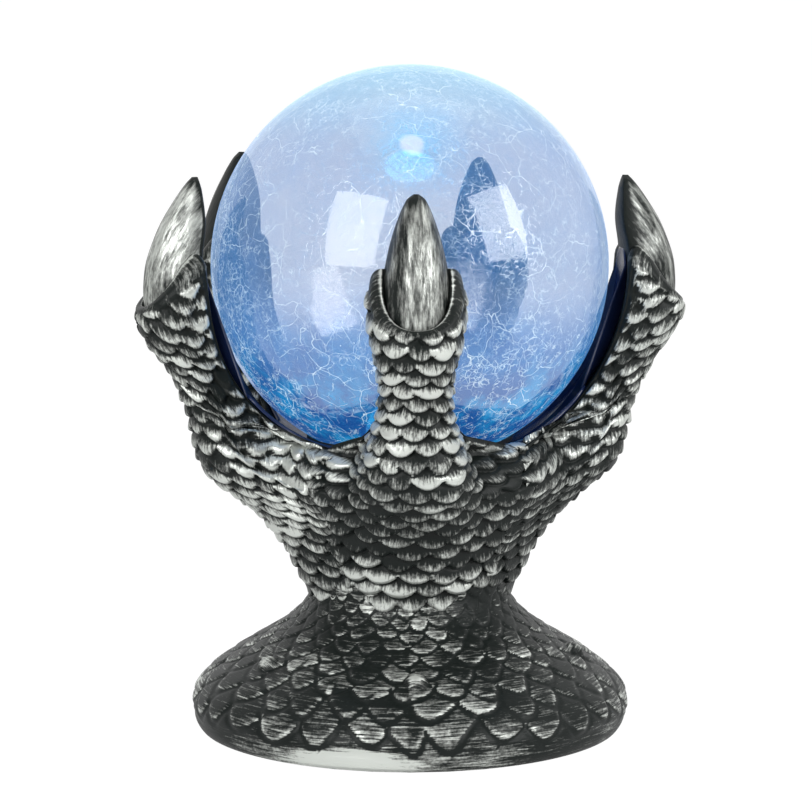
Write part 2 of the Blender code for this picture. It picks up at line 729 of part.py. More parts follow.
def make_plate():
    """The round base plate with its door opening, switch slot, posts and screw holes."""
    mesh_steps = COLUMN_STEPS
    profile = [(0, PLATE_TOP), (PLATE_RADIUS, PLATE_TOP), (PLATE_RADIUS, 0), (0, 0)]
    plate = turned("plate_blank", profile, mesh_steps, closed=False)
    low, high = door_edges()
    cut(plate, box("door_opening", (*low, -OVERSIZE), (*high, OVERSIZE)))
    knob = KNOB_SIDE / 2 + CLEARANCE
    half = SWITCH_TRAVEL / 2 + knob
    slot_low = (-half, CONTROL_Y - knob, -OVERSIZE)
    cut(plate, box("switch_slot", slot_low, (half, CONTROL_Y + knob, OVERSIZE)))
    for number, degrees in enumerate(BASE_SCREW_ANGLES, 1):
        centre = around(BOSS_CIRCLE, degrees)
        well = SCREW_HEAD_RADIUS + CLEARANCE
        depth = SCREW_HEAD_HEIGHT + CLEARANCE
        cut(plate, rod(f"head_well_{number}", centre, well, -OVERSIZE, depth))
        cut(plate, rod(f"shank_way_{number}", centre, HOLE_RADIUS, -OVERSIZE, OVERSIZE))
    for number, centre in enumerate(post_centres(), 1):
        post = rod(f"post_{number}", centre, BOSS_RADIUS, PLATE_TOP / 2, control_z() - CLEARANCE)
        cut(plate, post, "UNION")
        cut(plate, rod(f"post_bore_{number}", centre, HOLE_RADIUS, PLATE_TOP, OVERSIZE * 3))
    for number, centre in enumerate(ear_centres(), 1):
        cut(plate, rod(f"ear_bore_{number}", centre, HOLE_RADIUS, PLATE_TOP / 4, OVERSIZE))
    smooth(baked(plate, "base_plate", black_plastic()))
    for number, degrees in enumerate(BASE_SCREW_ANGLES, 1):
        length = PLATE_THICKNESS + 2 * SCREW_HEAD_RADIUS
        screw(f"base_screw_{number}", around(BOSS_CIRCLE, degrees), CLEARANCE / 2, length, True, steel())
    for number, degrees in enumerate(LINER_SCREW_ANGLES, 1):
        head = LEDGE_Z - LEDGE_THICKNESS - CLEARANCE - SCREW_HEAD_HEIGHT
        length = LEDGE_THICKNESS + DECK_THICKNESS
        screw(f"liner_screw_{number}", around(LINER_SCREW_CIRCLE, degrees), head, length, True, steel())


def control_z():
    """Underside of the control board, above the switch that hangs from it."""
    return PLATE_TOP + 2 * CLEARANCE + SWITCH_HEIGHT + CLEARANCE


def post_centres():
    reach = CONTROL_LENGTH / 2 - BOSS_RADIUS
    return ((-reach, CONTROL_Y), (reach, CONTROL_Y))


def tray_corners():
    """Low and high corners of the battery tray's outside, seen from above."""
    low, high = door_edges()
    half = TRAY_INSIDE / 2 + TRAY_WALL
    rear = high[1] + TAB_REACH + TRAY_WALL + 2 * CLEARANCE
    return (-half, low[1] - TRAY_WALL), (half, rear)


def ear_centres():
    """Where the tray's two fixing ears stand, either side of its long way."""
    low, high = tray_corners()
    middle = (low[1] + high[1]) / 2
    reach = high[0] + BOSS_RADIUS
    return ((-reach, middle), (reach, middle))


def cell_rows():
    """(row number, Y, which way the nub points) for each cell, side by side and turned about in turn."""
    low, _ = door_edges()
    first = low[1] + CLEARANCE + CELL_RADIUS + CLEARANCE
    return [(i + 1, first + i * CELL_PITCH, 1 if i % 2 == 0 else -1) for i in range(CELL_COUNT)]


def make_tray():
    """The battery tray with its ears and lead holes."""
    low, high = tray_corners()
    tray = box("tray_blank", (*low, TRAY_Z), (*high, TRAY_TOP))
    for number, centre in enumerate(ear_centres(), 1):
        ear = rod(f"ear_{number}", centre, BOSS_RADIUS + TRAY_WALL, TRAY_Z, TRAY_Z + PLATE_THICKNESS)
        cut(tray, ear, "UNION")
    inside_low = (low[0] + TRAY_WALL, low[1] + TRAY_WALL, TRAY_Z - OVERSIZE)
    inside_high = (high[0] - TRAY_WALL, high[1] - TRAY_WALL, TRAY_TOP - TRAY_WALL)
    cut(tray, box("tray_room", inside_low, inside_high))
    for number, centre in enumerate(ear_centres(), 1):
        cut(tray, rod(f"ear_hole_{number}", centre, HOLE_RADIUS, TRAY_Z - OVERSIZE, TRAY_TOP))
    for side, (x, y) in lead_exits().items():
        way = rod(f"{side}_lead_way", (0, 0), LEAD_RADIUS + CLEARANCE, -OVERSIZE, OVERSIZE)
        way.rotation_euler = (0, math.pi / 2, 0)
        way.location = (x, y, CELL_Z)
        cut(tray, way)
    baked(tray, "battery_tray", black_plastic())
    for number, centre in enumerate(ear_centres(), 1):
        head = TRAY_Z + PLATE_THICKNESS + CLEARANCE + SCREW_HEAD_HEIGHT
        screw(f"tray_screw_{number}", centre, head, PLATE_THICKNESS + PLATE_TOP / 2, False, steel())


def lead_exits():
    """Where the two battery leads pass the tray's end walls, beside the first and the last cell."""
    rows = cell_rows()
    wall = TRAY_INSIDE / 2 + TRAY_WALL / 2
    return {"red": (wall, rows[0][1]), "black": (-wall, rows[-1][1])}


def make_cells():
    """The cells, with a spring at each flat end and a plate at each nub."""
    body = CELL_LENGTH - NUB_LENGTH
    wall = TRAY_INSIDE / 2
    wrap = finish("cell_wrap", (0.12, 0.13, 0.15), 0.35, 0.3)
    for number, y, way in cell_rows():
        nub_x = wall - CLEARANCE - CONTACT_THICKNESS - CLEARANCE
        profile = [(0, 0), (NUB_RADIUS, 0), (NUB_RADIUS, -NUB_LENGTH), (CELL_RADIUS, -NUB_LENGTH),
                   (CELL_RADIUS, -NUB_LENGTH - body), (0, -NUB_LENGTH - body)]
        cell = turned(f"battery_cell_{number}", profile, SMALL_STEPS, wrap, closed=False)
        cell.rotation_euler = (0, way * math.pi / 2, 0)
        cell.location = (way * nub_x, y, CELL_Z)
        side = CONTACT_SIDE / 2
        near, far = sorted((way * (wall - CLEARANCE), way * (wall - CLEARANCE - CONTACT_THICKNESS)))
        box(f"contact_plate_{number}", (near, y - side, CELL_Z - side), (far, y + side, CELL_Z + side), steel())
        make_spring(f"contact_spring_{number}", -way * (wall - CLEARANCE), way, y)


def make_spring(name, wall_x, way, y):
    """A contact spring as one round wire wound along X from the tray's wall to the cell."""
    per_turn = 8
    count = SPRING_TURNS * per_turn
    run = SPRING_LENGTH - SPRING_WIRE
    points = []
    for i in range(count + 1):
        turn = 2 * math.pi * i / per_turn
        x = wall_x + way * (SPRING_WIRE / 2 + run * i / count)
        points.append((x, y + SPRING_RADIUS * math.cos(turn), CELL_Z + SPRING_RADIUS * math.sin(turn)))
    wire(name, points, SPRING_WIRE / 2, 0, steel())
    least = min(
        (Vector(points[i + per_turn]) - Vector(points[i])).length for i in range(count + 1 - per_turn)
    )
    print(f"{name}: least gap between turns {(least - SPRING_WIRE) / MM:.2f} mm")


def wire(name, points, radius, resolution, material):
    """A round wire through points, with closed ends."""
    curve = bpy.data.curves.new(name, "CURVE")
    curve.dimensions = "3D"
    curve.bevel_depth = radius
    curve.bevel_resolution = resolution
    curve.use_fill_caps = True
    spline = curve.splines.new("POLY")
    spline.points.add(len(points) - 1)
    for target, point in zip(spline.points, points):
        target.co = (*point, 1)
    return place(bpy.data.objects.new(name, curve), material)


def make_door():
    """The battery door with two tabs that hook over the plate, and a thumb latch."""
    low, high = door_edges()
    plate_low = (low[0] + CLEARANCE, low[1] + CLEARANCE, DOOR_Z)
    door = box("door_blank", plate_low, (high[0] - CLEARANCE, HINGE_Y, DOOR_TOP))
    tab_z = PLATE_TOP + 2 * CLEARANCE
    riser = 2 * MM
    for number, x in enumerate((-TAB_SPACING / 2, TAB_SPACING / 2), 1):
        left, right = x - TAB_WIDTH / 2, x + TAB_WIDTH / 2
        rear = HINGE_Y - CLEARANCE
        foot = box(f"tab_foot_{number}", (left, rear - riser, DOOR_Z + CLEARANCE), (right, rear, tab_z + TAB_THICKNESS))
        reach = (right, rear + TAB_REACH, tab_z + TAB_THICKNESS)
        cut(door, foot, "UNION")
        cut(door, box(f"tab_{number}", (left, rear - riser / 2, tab_z), reach), "UNION")
    thumb = DOOR_WIDTH / 8
    recess_low = (-thumb, plate_low[1] + thumb / 2, DOOR_Z - OVERSIZE)
    cut(door, box("thumb_recess", recess_low, (thumb, plate_low[1] + thumb, DOOR_Z + DOOR_THICKNESS / 3)))
    body = baked(door, "battery_door", black_plastic())
    hinge = Vector((0, HINGE_Y, DOOR_Z))
    for vertex in body.data.vertices:
        vertex.co = body.matrix_world @ vertex.co - hinge
    body.matrix_world.identity()
    body.location = hinge


def make_switch():
    """The control board on its posts, with the slide switch below it and a driver chip on top."""
    board_low = control_z()
    board_top = board_low + BOARD_THICKNESS
    half_length, half_width = CONTROL_LENGTH / 2, CONTROL_WIDTH / 2
    board = box(
        "control_blank",
        (-half_length, CONTROL_Y - half_width, board_low),
        (half_length, CONTROL_Y + half_width, board_top),
    )
    for number, centre in enumerate(post_centres(), 1):
        cut(board, rod(f"control_hole_{number}", centre, HOLE_RADIUS, board_low - OVERSIZE, board_top + OVERSIZE))
        head = board_top + CLEARANCE + SCREW_HEAD_HEIGHT
        length = BOARD_THICKNESS + 2 * SCREW_RADIUS
        screw(f"board_screw_{number}", centre, head, length, False, steel())
    baked(board, "control_board", circuit())
    chip = 3 * MM
    chip_low = (-chip, CONTROL_Y - chip * 0.8, board_top + CLEARANCE)
    box("driver_chip", chip_low, (chip, CONTROL_Y + chip * 0.8, board_top + CLEARANCE + chip / 2), black_plastic())
    body_low = PLATE_TOP + 2 * CLEARANCE
    body = box(
        "switch_blank",
        (-SWITCH_LENGTH / 2, CONTROL_Y - SWITCH_WIDTH / 2, body_low),
        (SWITCH_LENGTH / 2, CONTROL_Y + SWITCH_WIDTH / 2, board_low - CLEARANCE),
    )
    stem = KNOB_SIDE / 4
    slot = SWITCH_TRAVEL / 2 + stem + CLEARANCE
    slot_top = body_low + SWITCH_HEIGHT / 2
    slot_low = (-slot, CONTROL_Y - stem - CLEARANCE, body_low - OVERSIZE)
    cut(body, box("switch_channel", slot_low, (slot, CONTROL_Y + stem + CLEARANCE, slot_top)))
    baked(body, "switch_body", steel())
    rest_x = -SWITCH_TRAVEL / 2
    cap = KNOB_SIDE / 2
    cap_top = body_low - CLEARANCE
    knob = box("knob_blank", (rest_x - cap, CONTROL_Y - cap, KNOB_RECESS), (rest_x + cap, CONTROL_Y + cap, cap_top))
    stem_low = (rest_x - stem, CONTROL_Y - stem, cap_top - CLEARANCE)
    cut(knob, box("knob_stem", stem_low, (rest_x + stem, CONTROL_Y + stem, slot_top - CLEARANCE)), "UNION")
    baked(knob, "switch_knob", white_plastic())


def make_leads():
    """The wires: from the tray's ends to the control board, and from there up the waist to the lamps."""
    red = finish("red_lead", (0.6, 0.03, 0.03), 0.5)
    black = finish("black_lead", (0.02, 0.02, 0.02), 0.5)
    board_low = control_z()
    solder = board_low + BOARD_THICKNESS + CLEARANCE + LEAD_RADIUS
    edge = CONTROL_Y + CONTROL_WIDTH / 2
    rise = FLANGE_Z + TOWER_RISE - BOARD_THICKNESS - 3 * CLEARANCE - LEAD_RADIUS
    for colour, material, way in (("red", red, 1), ("black", black, -1)):
        exit_x, exit_y = lead_exits()[colour]
        outside = exit_x + way * 4 * MM
        level = CELL_Z + MM
        start = (exit_x - way * TRAY_WALL / 4, exit_y, CELL_Z)
        clear = (exit_x + way * (TRAY_WALL + MM), exit_y, CELL_Z)
        pad = (way * CONTROL_LENGTH / 4, edge - 3 * MM, solder)
        turn = (outside, exit_y - 4 * MM, level)
        corner = (outside + way * 2 * MM, edge + 10 * MM, level)
        route = [start, clear, turn, corner, (pad[0] + way * 4 * MM, edge + 2 * MM, solder + MM), pad]
        wire(f"battery_lead_{colour}", curved(route), LEAD_RADIUS, 1, material)
        lamp_pad = (way * CONTROL_LENGTH / 9, edge - 5 * MM, solder)
        route = [lamp_pad, (way * 3 * MM, edge, solder + 3 * MM), (way * 3 * MM, -12 * MM, WAIST_Z * 0.6),
                 (way * 3 * MM, -4 * MM, WAIST_Z * 1.2), (way * 3 * MM, 0, LEDGE_Z), (way * 3 * MM, 0, rise)]
        wire(f"lamp_lead_{colour}", curved(route), LEAD_RADIUS, 1, material)


def curved(route):
    """Points on a smooth curve through a route's own points."""
    return [tuple(p) for p in through_stations(route, 4)]


def main():
    clear_scene()
    make_globe()
    make_seat_ring()
    make_shells()
    make_liner()
    make_lamp()
    make_plate()
    make_tray()
    make_cells()
    make_door()
    make_switch()
    make_leads()


main()
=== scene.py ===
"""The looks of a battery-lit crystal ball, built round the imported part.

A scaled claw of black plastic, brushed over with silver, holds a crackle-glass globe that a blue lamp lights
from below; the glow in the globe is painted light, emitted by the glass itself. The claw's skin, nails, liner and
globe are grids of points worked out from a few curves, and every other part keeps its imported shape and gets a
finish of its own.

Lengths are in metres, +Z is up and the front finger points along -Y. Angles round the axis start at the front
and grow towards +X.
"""

import math

import bpy
import numpy as np
from bpy.props import FloatProperty, FloatVectorProperty, IntProperty, PointerProperty
from bpy.types import Operator, Panel, PropertyGroup
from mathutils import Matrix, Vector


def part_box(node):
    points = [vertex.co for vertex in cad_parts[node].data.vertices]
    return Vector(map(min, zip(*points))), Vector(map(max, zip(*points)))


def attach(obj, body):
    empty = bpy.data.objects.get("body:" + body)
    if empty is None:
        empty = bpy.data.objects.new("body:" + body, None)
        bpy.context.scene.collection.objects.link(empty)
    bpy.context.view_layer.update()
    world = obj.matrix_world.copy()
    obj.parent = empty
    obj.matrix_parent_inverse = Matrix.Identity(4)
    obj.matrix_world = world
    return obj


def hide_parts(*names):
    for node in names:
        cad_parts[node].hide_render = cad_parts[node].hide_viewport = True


bl_info = {
    "name": "Crystal ball",
    "version": (1, 0, 0),
    "blender": (4, 5, 0),
    "location": "View3D > Sidebar > Crystal ball",
    "description": "Dresses the packed crystal ball: claw, nails, liner, globe, inner parts and stage",
    "category": "Add Mesh",
}

MM = 0.001

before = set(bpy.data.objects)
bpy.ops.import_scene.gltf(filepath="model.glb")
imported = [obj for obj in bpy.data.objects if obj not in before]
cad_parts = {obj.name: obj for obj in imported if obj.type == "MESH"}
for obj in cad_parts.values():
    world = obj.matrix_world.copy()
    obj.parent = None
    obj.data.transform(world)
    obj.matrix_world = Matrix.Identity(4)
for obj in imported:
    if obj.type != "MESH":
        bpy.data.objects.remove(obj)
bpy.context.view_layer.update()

# Globe, cup and foot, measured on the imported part
GLOBE_LOW, GLOBE_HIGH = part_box("crackle_globe")
LINER_LOW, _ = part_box("cup_liner")
PLATE_LOW, PLATE_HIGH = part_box("base_plate")
GLOBE_RADIUS = (GLOBE_HIGH.x - GLOBE_LOW.x) / 2
GLOBE_Z = GLOBE_HIGH.z - GLOBE_RADIUS
NECK_RADIUS = 25 * MM
MOUTH_ROUNDING = 0.5 * MM
CUP_RADIUS = GLOBE_RADIUS + 2.0 * MM
LINER_WALL = 2.3 * MM
LINER_OUTER = CUP_RADIUS + LINER_WALL
POCKET_RADIUS = LINER_OUTER + 0.2 * MM
POCKET_FLOOR = 5 * MM
PLATE_CLEARANCE = 0.3 * MM
PLATE_SEAT = PLATE_HIGH.x + PLATE_CLEARANCE

# From the bottom of the cup to the web the pocket stands off further, and the liner thins
POCKET_SPREAD = 2.6 * MM
LINER_THINNING = 1.4 * MM
SPREAD_Z = (85 * MM, 112 * MM)

# Liner below its bowl, the rounding of its edge, and how far the rounding draws the two faces together
SOCKET_RADIUS = 27 * MM
SKIRT_RADIUS = 38 * MM
DECK_BORE = 20 * MM
DECK_THICKNESS = 2.7 * MM
LIP_HEIGHT = 0.7 * MM
LIP_SHARE = 0.35

# Claw column: foot, waist, palm and the web between the fingers
FOOT_BOTTOM = PLATE_LOW.z + PLATE_CLEARANCE
FOOT_RADIUS = 82.3 * MM
RIM_HEIGHT = 9 * MM
RIM_TUCK = 2.2 * MM
TUCK_SHARE = 0.55
SKIRT_POWER = 2.15
WAIST_RADIUS = 37.3 * MM
WAIST_Z = 54 * MM
PALM_RADIUS = 59 * MM
PALM_Z = 97 * MM
PALM_POWER = 1.5
WEB_Z = 112 * MM
WEB_EDGE = 1.6 * MM
WEB_RISE = 7 * MM
WEB_FADE = 10 * MM
WEB_THINNING = 0.7
SHELL_WALL = 3 * MM
FOOT_WALL = 1.5 * MM
FOOT_TOP = 66 * MM
SKIN_BOTTOM = 50 * MM
COLLAR_Z = 161.5 * MM

# Fingers round the axis, in degrees, and their curves as (height, value) in millimetres
FINGERS = {"front": 1.5, "right": 97.0, "rear_right": 160.0, "rear_left": 233.0, "left": 285.0}
FINGER_REACH = (
    (46, 33), (58, 37), (70, 44.5), (78, 50.8), (86, 59.5), (94, 69.6), (101, 77.8), (109, 81.4), (117, 82.8),
    (124, 84.8), (132, 88), (140, 92.4), (147, 97.4), (154, 101.8), (161, 103.4), (170, 102), (182, 98),
)
FINGER_HALF = (
    (46, 15), (70, 19), (86, 20.5), (101, 20), (109, 18.6), (117, 16), (124, 13.8), (132, 12.3), (140, 12),
    (147, 12.9), (154, 14.2), (161, 15.5), (168, 16.2), (173, 16.2), (178, 15.2), (182, 13.5), (186, 11.8),
    (192, 10.5),
)
FINGER_DEPTH = ((46, 24), (90, 25), (105, 21), (120, 17), (182, 17))
FINGER_EDGE = (
    (112, 26), (117, 20.7), (121, 16.9), (125, 14.5), (130, 13.1), (137, 12.4), (144, 12.6), (152, 14), (160, 15.3),
    (168, 16.1), (174, 15.9), (178, 14.9), (182, 13.3), (186, 11.6), (192, 10.4),
)
FINGER_SQUARENESS = 2.3
FARTHEST_REACH = 140 * MM
FINGER_BLEND = 12 * MM
EDGE_BLEND = 1.2 * MM
BLEND_Z = (WEB_Z + 14 * MM, WEB_Z - 2 * MM)
VALLEY_OVERLAP = math.radians(3.4)

# How steeply a row of scales climbs from the finger's back inwards, as (height in millimetres, slope)
ROW_SLANT = (
    (50, 0), (70, -0.1), (85, -0.25), (100, -0.32), (125, -0.4), (144, -0.35), (154, 0.1), (161.5, 0.7),
)
FRONT_SLANT = (
    (50, 0), (70, 0.1), (85, 0.22), (100, 0.3), (115, 0.1), (125, 0), (144, 0), (154, 0.25), (161.5, 0.7),
)

# Rows of scales on the fingers: their pitch as a share of a scale's width, the heights over which the scales grow
# to the palm's size, how far rows follow each column's own length below and above the knuckle, and the drift of
# columns and rows in cells, with its lengths round and along the skin
FINGER_PITCH, PALM_PITCH = 0.66, 0.54
PALM_GROWTH = 0.15
PALM_GROWTH_Z = (118 * MM, 92 * MM)
ROW_FREEDOM, FRONT_FREEDOM = (0.25, 0.95), (0.0, 0.6)
KNUCKLE_Z = (136 * MM, 150 * MM)
COLUMN_DRIFT, COLUMN_DRIFT_RUN = 0.12, (9 * MM, 11 * MM)
ROW_DRIFT, ROW_DRIFT_RUN = 0.2, (12 * MM, 10 * MM)

# Single scales, in cells of their lattice: the free edge's droop and power, the rounding behind it, the length over
# which a scale sinks, the chance shift of its place, and the fall to its sides
FINGER_SCALE = {"droop": 0.5, "point": 2.0, "rounding": 0.32, "length": 1.2, "jitter": 0.2, "dome": 0.3}
FOOT_SCALE = {"droop": 0.9, "point": 2.1, "rounding": 0.22, "length": 2.2, "jitter": 0.22, "dome": 0.16}
SCALE_WIDTH, WIDTH_CHANCE = 1.1, 0.12
LEAST_HEIGHT, HEIGHT_CHANCE = 0.75, 0.4
SINK_POWER = 1.8
VALLEY_FLOOR = -0.15
FINGER_GROOVE, FINGER_GROOVE_AT = 0.25, (0.2, 0.02)

# Edges of the fingers' skin: a plain strip along the liner, a bead at the collar, and the depths to which the skins
# sink where they cross in the valleys and at the waist
PLAIN_STRIP = (1.8 * MM, 0.5 * MM)
FREE_EDGE = (0.02, 0.12)
BEAD_STRIP = (1.4 * MM, 0.3 * MM)
BEAD_HEIGHT = 0.4
VALLEY_SINK = 1.2 * MM
WAIST_SINK = 2.4 * MM
WAIST_SINK_Z = (60 * MM, 51 * MM)

# Silver on the fingers: the most that a scale lifts, what a groove takes off, and the lift of the bead; the black in
# the grooves is partly unpainted plastic and partly painted shade under each free edge. Then places with less or more
# silver, as the change of lift and the places between which it comes in; the one with more on the upper left of the
# palm is a painted highlight where the palm faces the light
MOST_LIFT, GROOVE_DARKENING, BEAD_LIFT = 1.2, 0.5, 0.5
BARE_PALM, BARE_PALM_Z, BARE_PALM_X = 0.22, (114 * MM, 98 * MM), (-50 * MM, -22 * MM)
PALM_HIGHLIGHT, PALM_HIGHLIGHT_X, PALM_HIGHLIGHT_Z, PALM_HIGHLIGHT_REACH = 0.25, -44 * MM, 103 * MM, 17 * MM
RICH_NECK, RICH_NECK_Z, RICH_NECK_Y = 0.22, (74 * MM, 60 * MM), (-15 * MM, -32 * MM)
BARE_LEFT, BARE_LEFT_Z = 0.08, (114 * MM, 130 * MM)

# Fold of skin round a nail: its climb at the finger's back and what the sides add, how it draws in and dives
# beside the nail, and the lift of its slope and of its last rings
FOLD_CLIMB, FOLD_SIDES, FOLD_POWER = 1.6 * MM, 5 * MM, 1.4
FOLD_SHRINK, FOLD_TUCK, FOLD_SINK = 0.25, 0.05, 5 * MM
FOLD_ANGLE = math.radians(99)
FOLD_SLOPE, FOLD_CREST = (0.45, 0.35), (0.6, 1.0, 0.2, -0.4)
FOLD_STEP = 0.5 * MM

# Nails, as (height, value) in millimetres
NAIL_REACH = (
    (154, 99), (165, 101.6), (171, 101.6), (178, 100.7), (185, 98.4), (193, 94.8), (200, 90.4), (205, 86.8),
    (207.6, 84.6), (209, 83.2),
)
NAIL_HALF = (
    (154, 12.4), (165, 12.9), (172, 12.7), (178, 12.1), (185, 10.7), (193, 8.8), (200, 6.5), (205, 4.4), (207.6, 2.8),
    (209, 0.9),
)
NAIL_BACK = ((154, 82), (182, 82), (192, 80.4), (209, 81.4))
NAIL_SQUARENESS = 2.05
NAIL_RISE = {"left": 1.5 * MM, "rear_left": 6 * MM, "rear_right": 2 * MM}
NAIL_HOLLOW = 1.2 * MM
NAIL_THIN = 6 * MM
RIDGE_HEIGHT = 0.16 * MM
RIDGE_LENGTH = 26 * MM
RIDGES = 14
RIDGED_DEPTH = 3 * MM

# Silver on the nails: its lift outside and inside, and what the ridges, the tip, the sides and the middle change,
# the sides darker partly from less paint and partly as painted shade where they turn away; then how far each nail's
# two flanks are darkened, partly less paint and partly painted shade on a flank turned from the light or, on a rear
# nail, turned to the front
NAIL_LIFT, NAIL_INSIDE = 0.72, -0.3
RIDGE_LIFT = 0.25
BARE_TIP, BARE_TIP_Z = 0.5, (203 * MM, 208.5 * MM)
SIDE_SHADE, SIDE_SHADE_AT = 0.5, (0.4, 0.1)
BARE_MIDDLE, BARE_MIDDLE_HALF = 0.12, 0.22
FLANK = (0.05, 0.95)
NAIL_FLANK_SHADE = {
    "front": (0.6, 0.3), "left": (0.05, 0.0), "right": (0.35, 0.35), "rear_left": (0.2, 0.9), "rear_right": (0.9, 0.2),
}
NAIL_WRAP = 1.6

# Tongues of the liner: (degrees from the finger's middle, height in millimetres) along the upper edge, and the
# degrees between which the grid's columns crowd
TONGUE_EDGE = (
    (0, 182), (3, 181.5), (5, 179.5), (6.2, 175), (6.6, 170), (6.8, 163), (6.9, 155), (7.1, 141), (9.0, 132.5),
    (12.2, 127), (15, 122.5), (18, 119.3), (22, 116.6), (27, 114.3), (32, 113.2), (60, 112.8),
)
TONGUE_SIDES = (11, 15)

# Scales of the foot: their rows' pitch and drift, the grooves between them, where the rim runs out under them, how
# low they get with the radius, and how they sink under the fingers' skin
FOOT_PITCH = 0.62
FOOT_DRIFT = 0.12
FOOT_GROOVE, FOOT_GROOVE_AT = 0.4, (0.24, 0.06)
RIM_BAND = (-0.35, 0.05)
FOOT_LEAST = 0.35
FOOT_SINK = 2.2 * MM
FOOT_SINK_Z = (57 * MM, 65 * MM)

# Silver on the foot: its lift on the scales, at their edges, in the grooves (black there, partly unpainted plastic and
# partly painted shade) and on the rim, and a painted highlight: more silver on the front, where the light falls most
FOOT_LIFT, FOOT_FADE, EDGE_LIFT, GROOVE_LIFT = 0.55, 0.1, 0.35, 1.2
EDGE_AT, EDGE_HALF = 0.09, 0.12
RIM_LIFT, LIT_RIM_FRONT, LIT_FRONT_LIFT = 0.46, 1.1, 0.1
LIT_FRONT_AT, LIT_FRONT_HALF = -16, 24
SOFTENED = 0.4
RIM_TONE = 0.4

# Spurs on the foot, in degrees round the axis
SPURS = (2.0, 82.0, 155.0, 228.0, 303.0)
SPUR_Z = 29 * MM
SPUR_RADIUS = 4.4 * MM
SPUR_HEIGHT = 3.4 * MM
SPUR_LIFT = 0.95

# Brushed paint: streaks per metre round and along the skin, the lift at which silver takes, the shares of worn
# patches and of streaks, how metallic the silver is, how bright its thin film, and the share and softness of specks
FINGER_PAINT = {"streaks": (800, 130), "cover": 0.61, "worn": 0.5, "metallic": 0.7, "streaky": 1.3}
FOOT_PAINT = {
    "streaks": (60, 900), "cover": 0.78, "worn": 0.6, "metallic": 0.5, "streaky": 1.7, "film_share": 0.24,
}
NAIL_PAINT = {
    "streaks": (900, 95), "cover": 0.52, "worn": 0.5, "metallic": 0.7, "streaky": 1.7, "film_share": 0.28,
    "specks": 0.25, "soft": 1.6,
}
FILM_BAND, BRIGHT_BAND = (-0.25, 0.05), (-0.05, 0.32)
PATCH_GRAIN, SPECK_GRAIN = 34, 900
SCORE_FINENESS = 2.2

# Crackle glass and lamp lens: their grains in waves per metre, and the crack lines from the main to the finest, as the
# share of the crack size, the width of a line and the turn of the cells
CLOUD_GRAIN, BREAK_GRAIN, DASH_GRAIN, SPARK_GRAIN = 22, 60, 260, 620
LENS_GRAIN = 160
CRACK_LAYERS = ((1.0, 0.15 * MM, 0.4), (0.45, 0.14 * MM, 1.3), (0.2, 0.16 * MM, 2.1))
CRACK_BENDS = ((0.45, 1.5), (1.6, 0.45))
# Painted light in the glass: the levels of the lamp's glow low down and at the crown, and the glowing colours of its
# pool, the crown, the bright crack lines and the halo
LOW_LEVEL, CROWN_LEVEL = (0.13, 0.45), (0.78, 1.0)
LAMP_POOL_COLOUR = (0.012, 0.30, 0.62)
CROWN_GLOW_COLOUR = (0.10, 0.52, 0.72)
CRACK_GLINT_COLOUR = (0.80, 0.95, 1.0)
HALO_COLOUR = (0.16, 0.66, 0.92)
WHITE = (1.0, 1.0, 1.0)

# Where the lamp's beam meets the glass again, at the back of the crown, and the fade of the painted halo of its light
# and of the painted highlight of the lamp there
BEAM_SPOT = (1 * MM, 62 * MM, GLOBE_Z + 41 * MM)
HALO_FADE = (30 * MM, 4 * MM)
LAMP_GLINT_FADE = (11 * MM, 7 * MM)
LAMP_GLINT_RAGGED = 8 * MM

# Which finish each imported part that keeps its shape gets: the first of these that is in its name
PART_FINISHES = (
    ("screw", "steel"), ("contact", "steel"), ("switch_body", "steel"), ("led_lens", "lens"), ("board", "board"),
    ("led_", "led"), ("lead_red", "red"), ("lead_black", "lead"), ("light_tower", "white"), ("seat_ring", "rubber"),
    ("battery_cell", "wrap"), ("battery_tray", "black"), ("battery_door", "black"), ("base_plate", "black"),
    ("driver_chip", "black"), ("switch_knob", "black"),
)

# The claw's two half shells, which its skins stand for together
SHELLS = ("outer_shell_left", "outer_shell_right")

# Stage: a wide floor just under the part, and lamps as their place and their width and height
FLOOR_HALF = 20
FLOOR_Z = -0.3 * MM
FLOOR_CLOSE = 2 * MM
SOFTBOXES = {
    "left": ((-0.72, -1.07, 0.72), (0.75, 1.0)),
    "right": ((1.08, -0.70, 0.72), (0.66, 0.9)),
    "top": ((0, 0.1, 1.6), (1.2, 1.2)),
}
LAMP_AIM = (0, 0, 120 * MM)

# Camera, fitted to the photograph's 812 by 812 frame
CAMERA_PLACE = (-1.4 * MM, -1250 * MM, 302.9 * MM)
CAMERA_PITCH = math.radians(8.23)
CAMERA_LENS = 147.8
CAMERA_SENSOR = 36


class ClawSettings(PropertyGroup):
    """Sizes of the claw's scales."""

    finger_scale: FloatProperty(
        name="Finger scale", description="Width of a scale on the fingers", default=9.2 * MM, unit="LENGTH"
    )
    palm_scale: FloatProperty(
        name="Palm scale", description="Width of a scale on the palm", default=11.5 * MM, unit="LENGTH"
    )
    scale_height: FloatProperty(
        name="Scale height", description="How far a scale's free edge stands up", default=2.3 * MM, unit="LENGTH"
    )
    foot_scales: IntProperty(name="Foot scales", description="Scales in one row round the foot", default=30)
    foot_height: FloatProperty(
        name="Foot scale height", description="How far a foot scale's edge stands up", default=1.5 * MM, unit="LENGTH"
    )


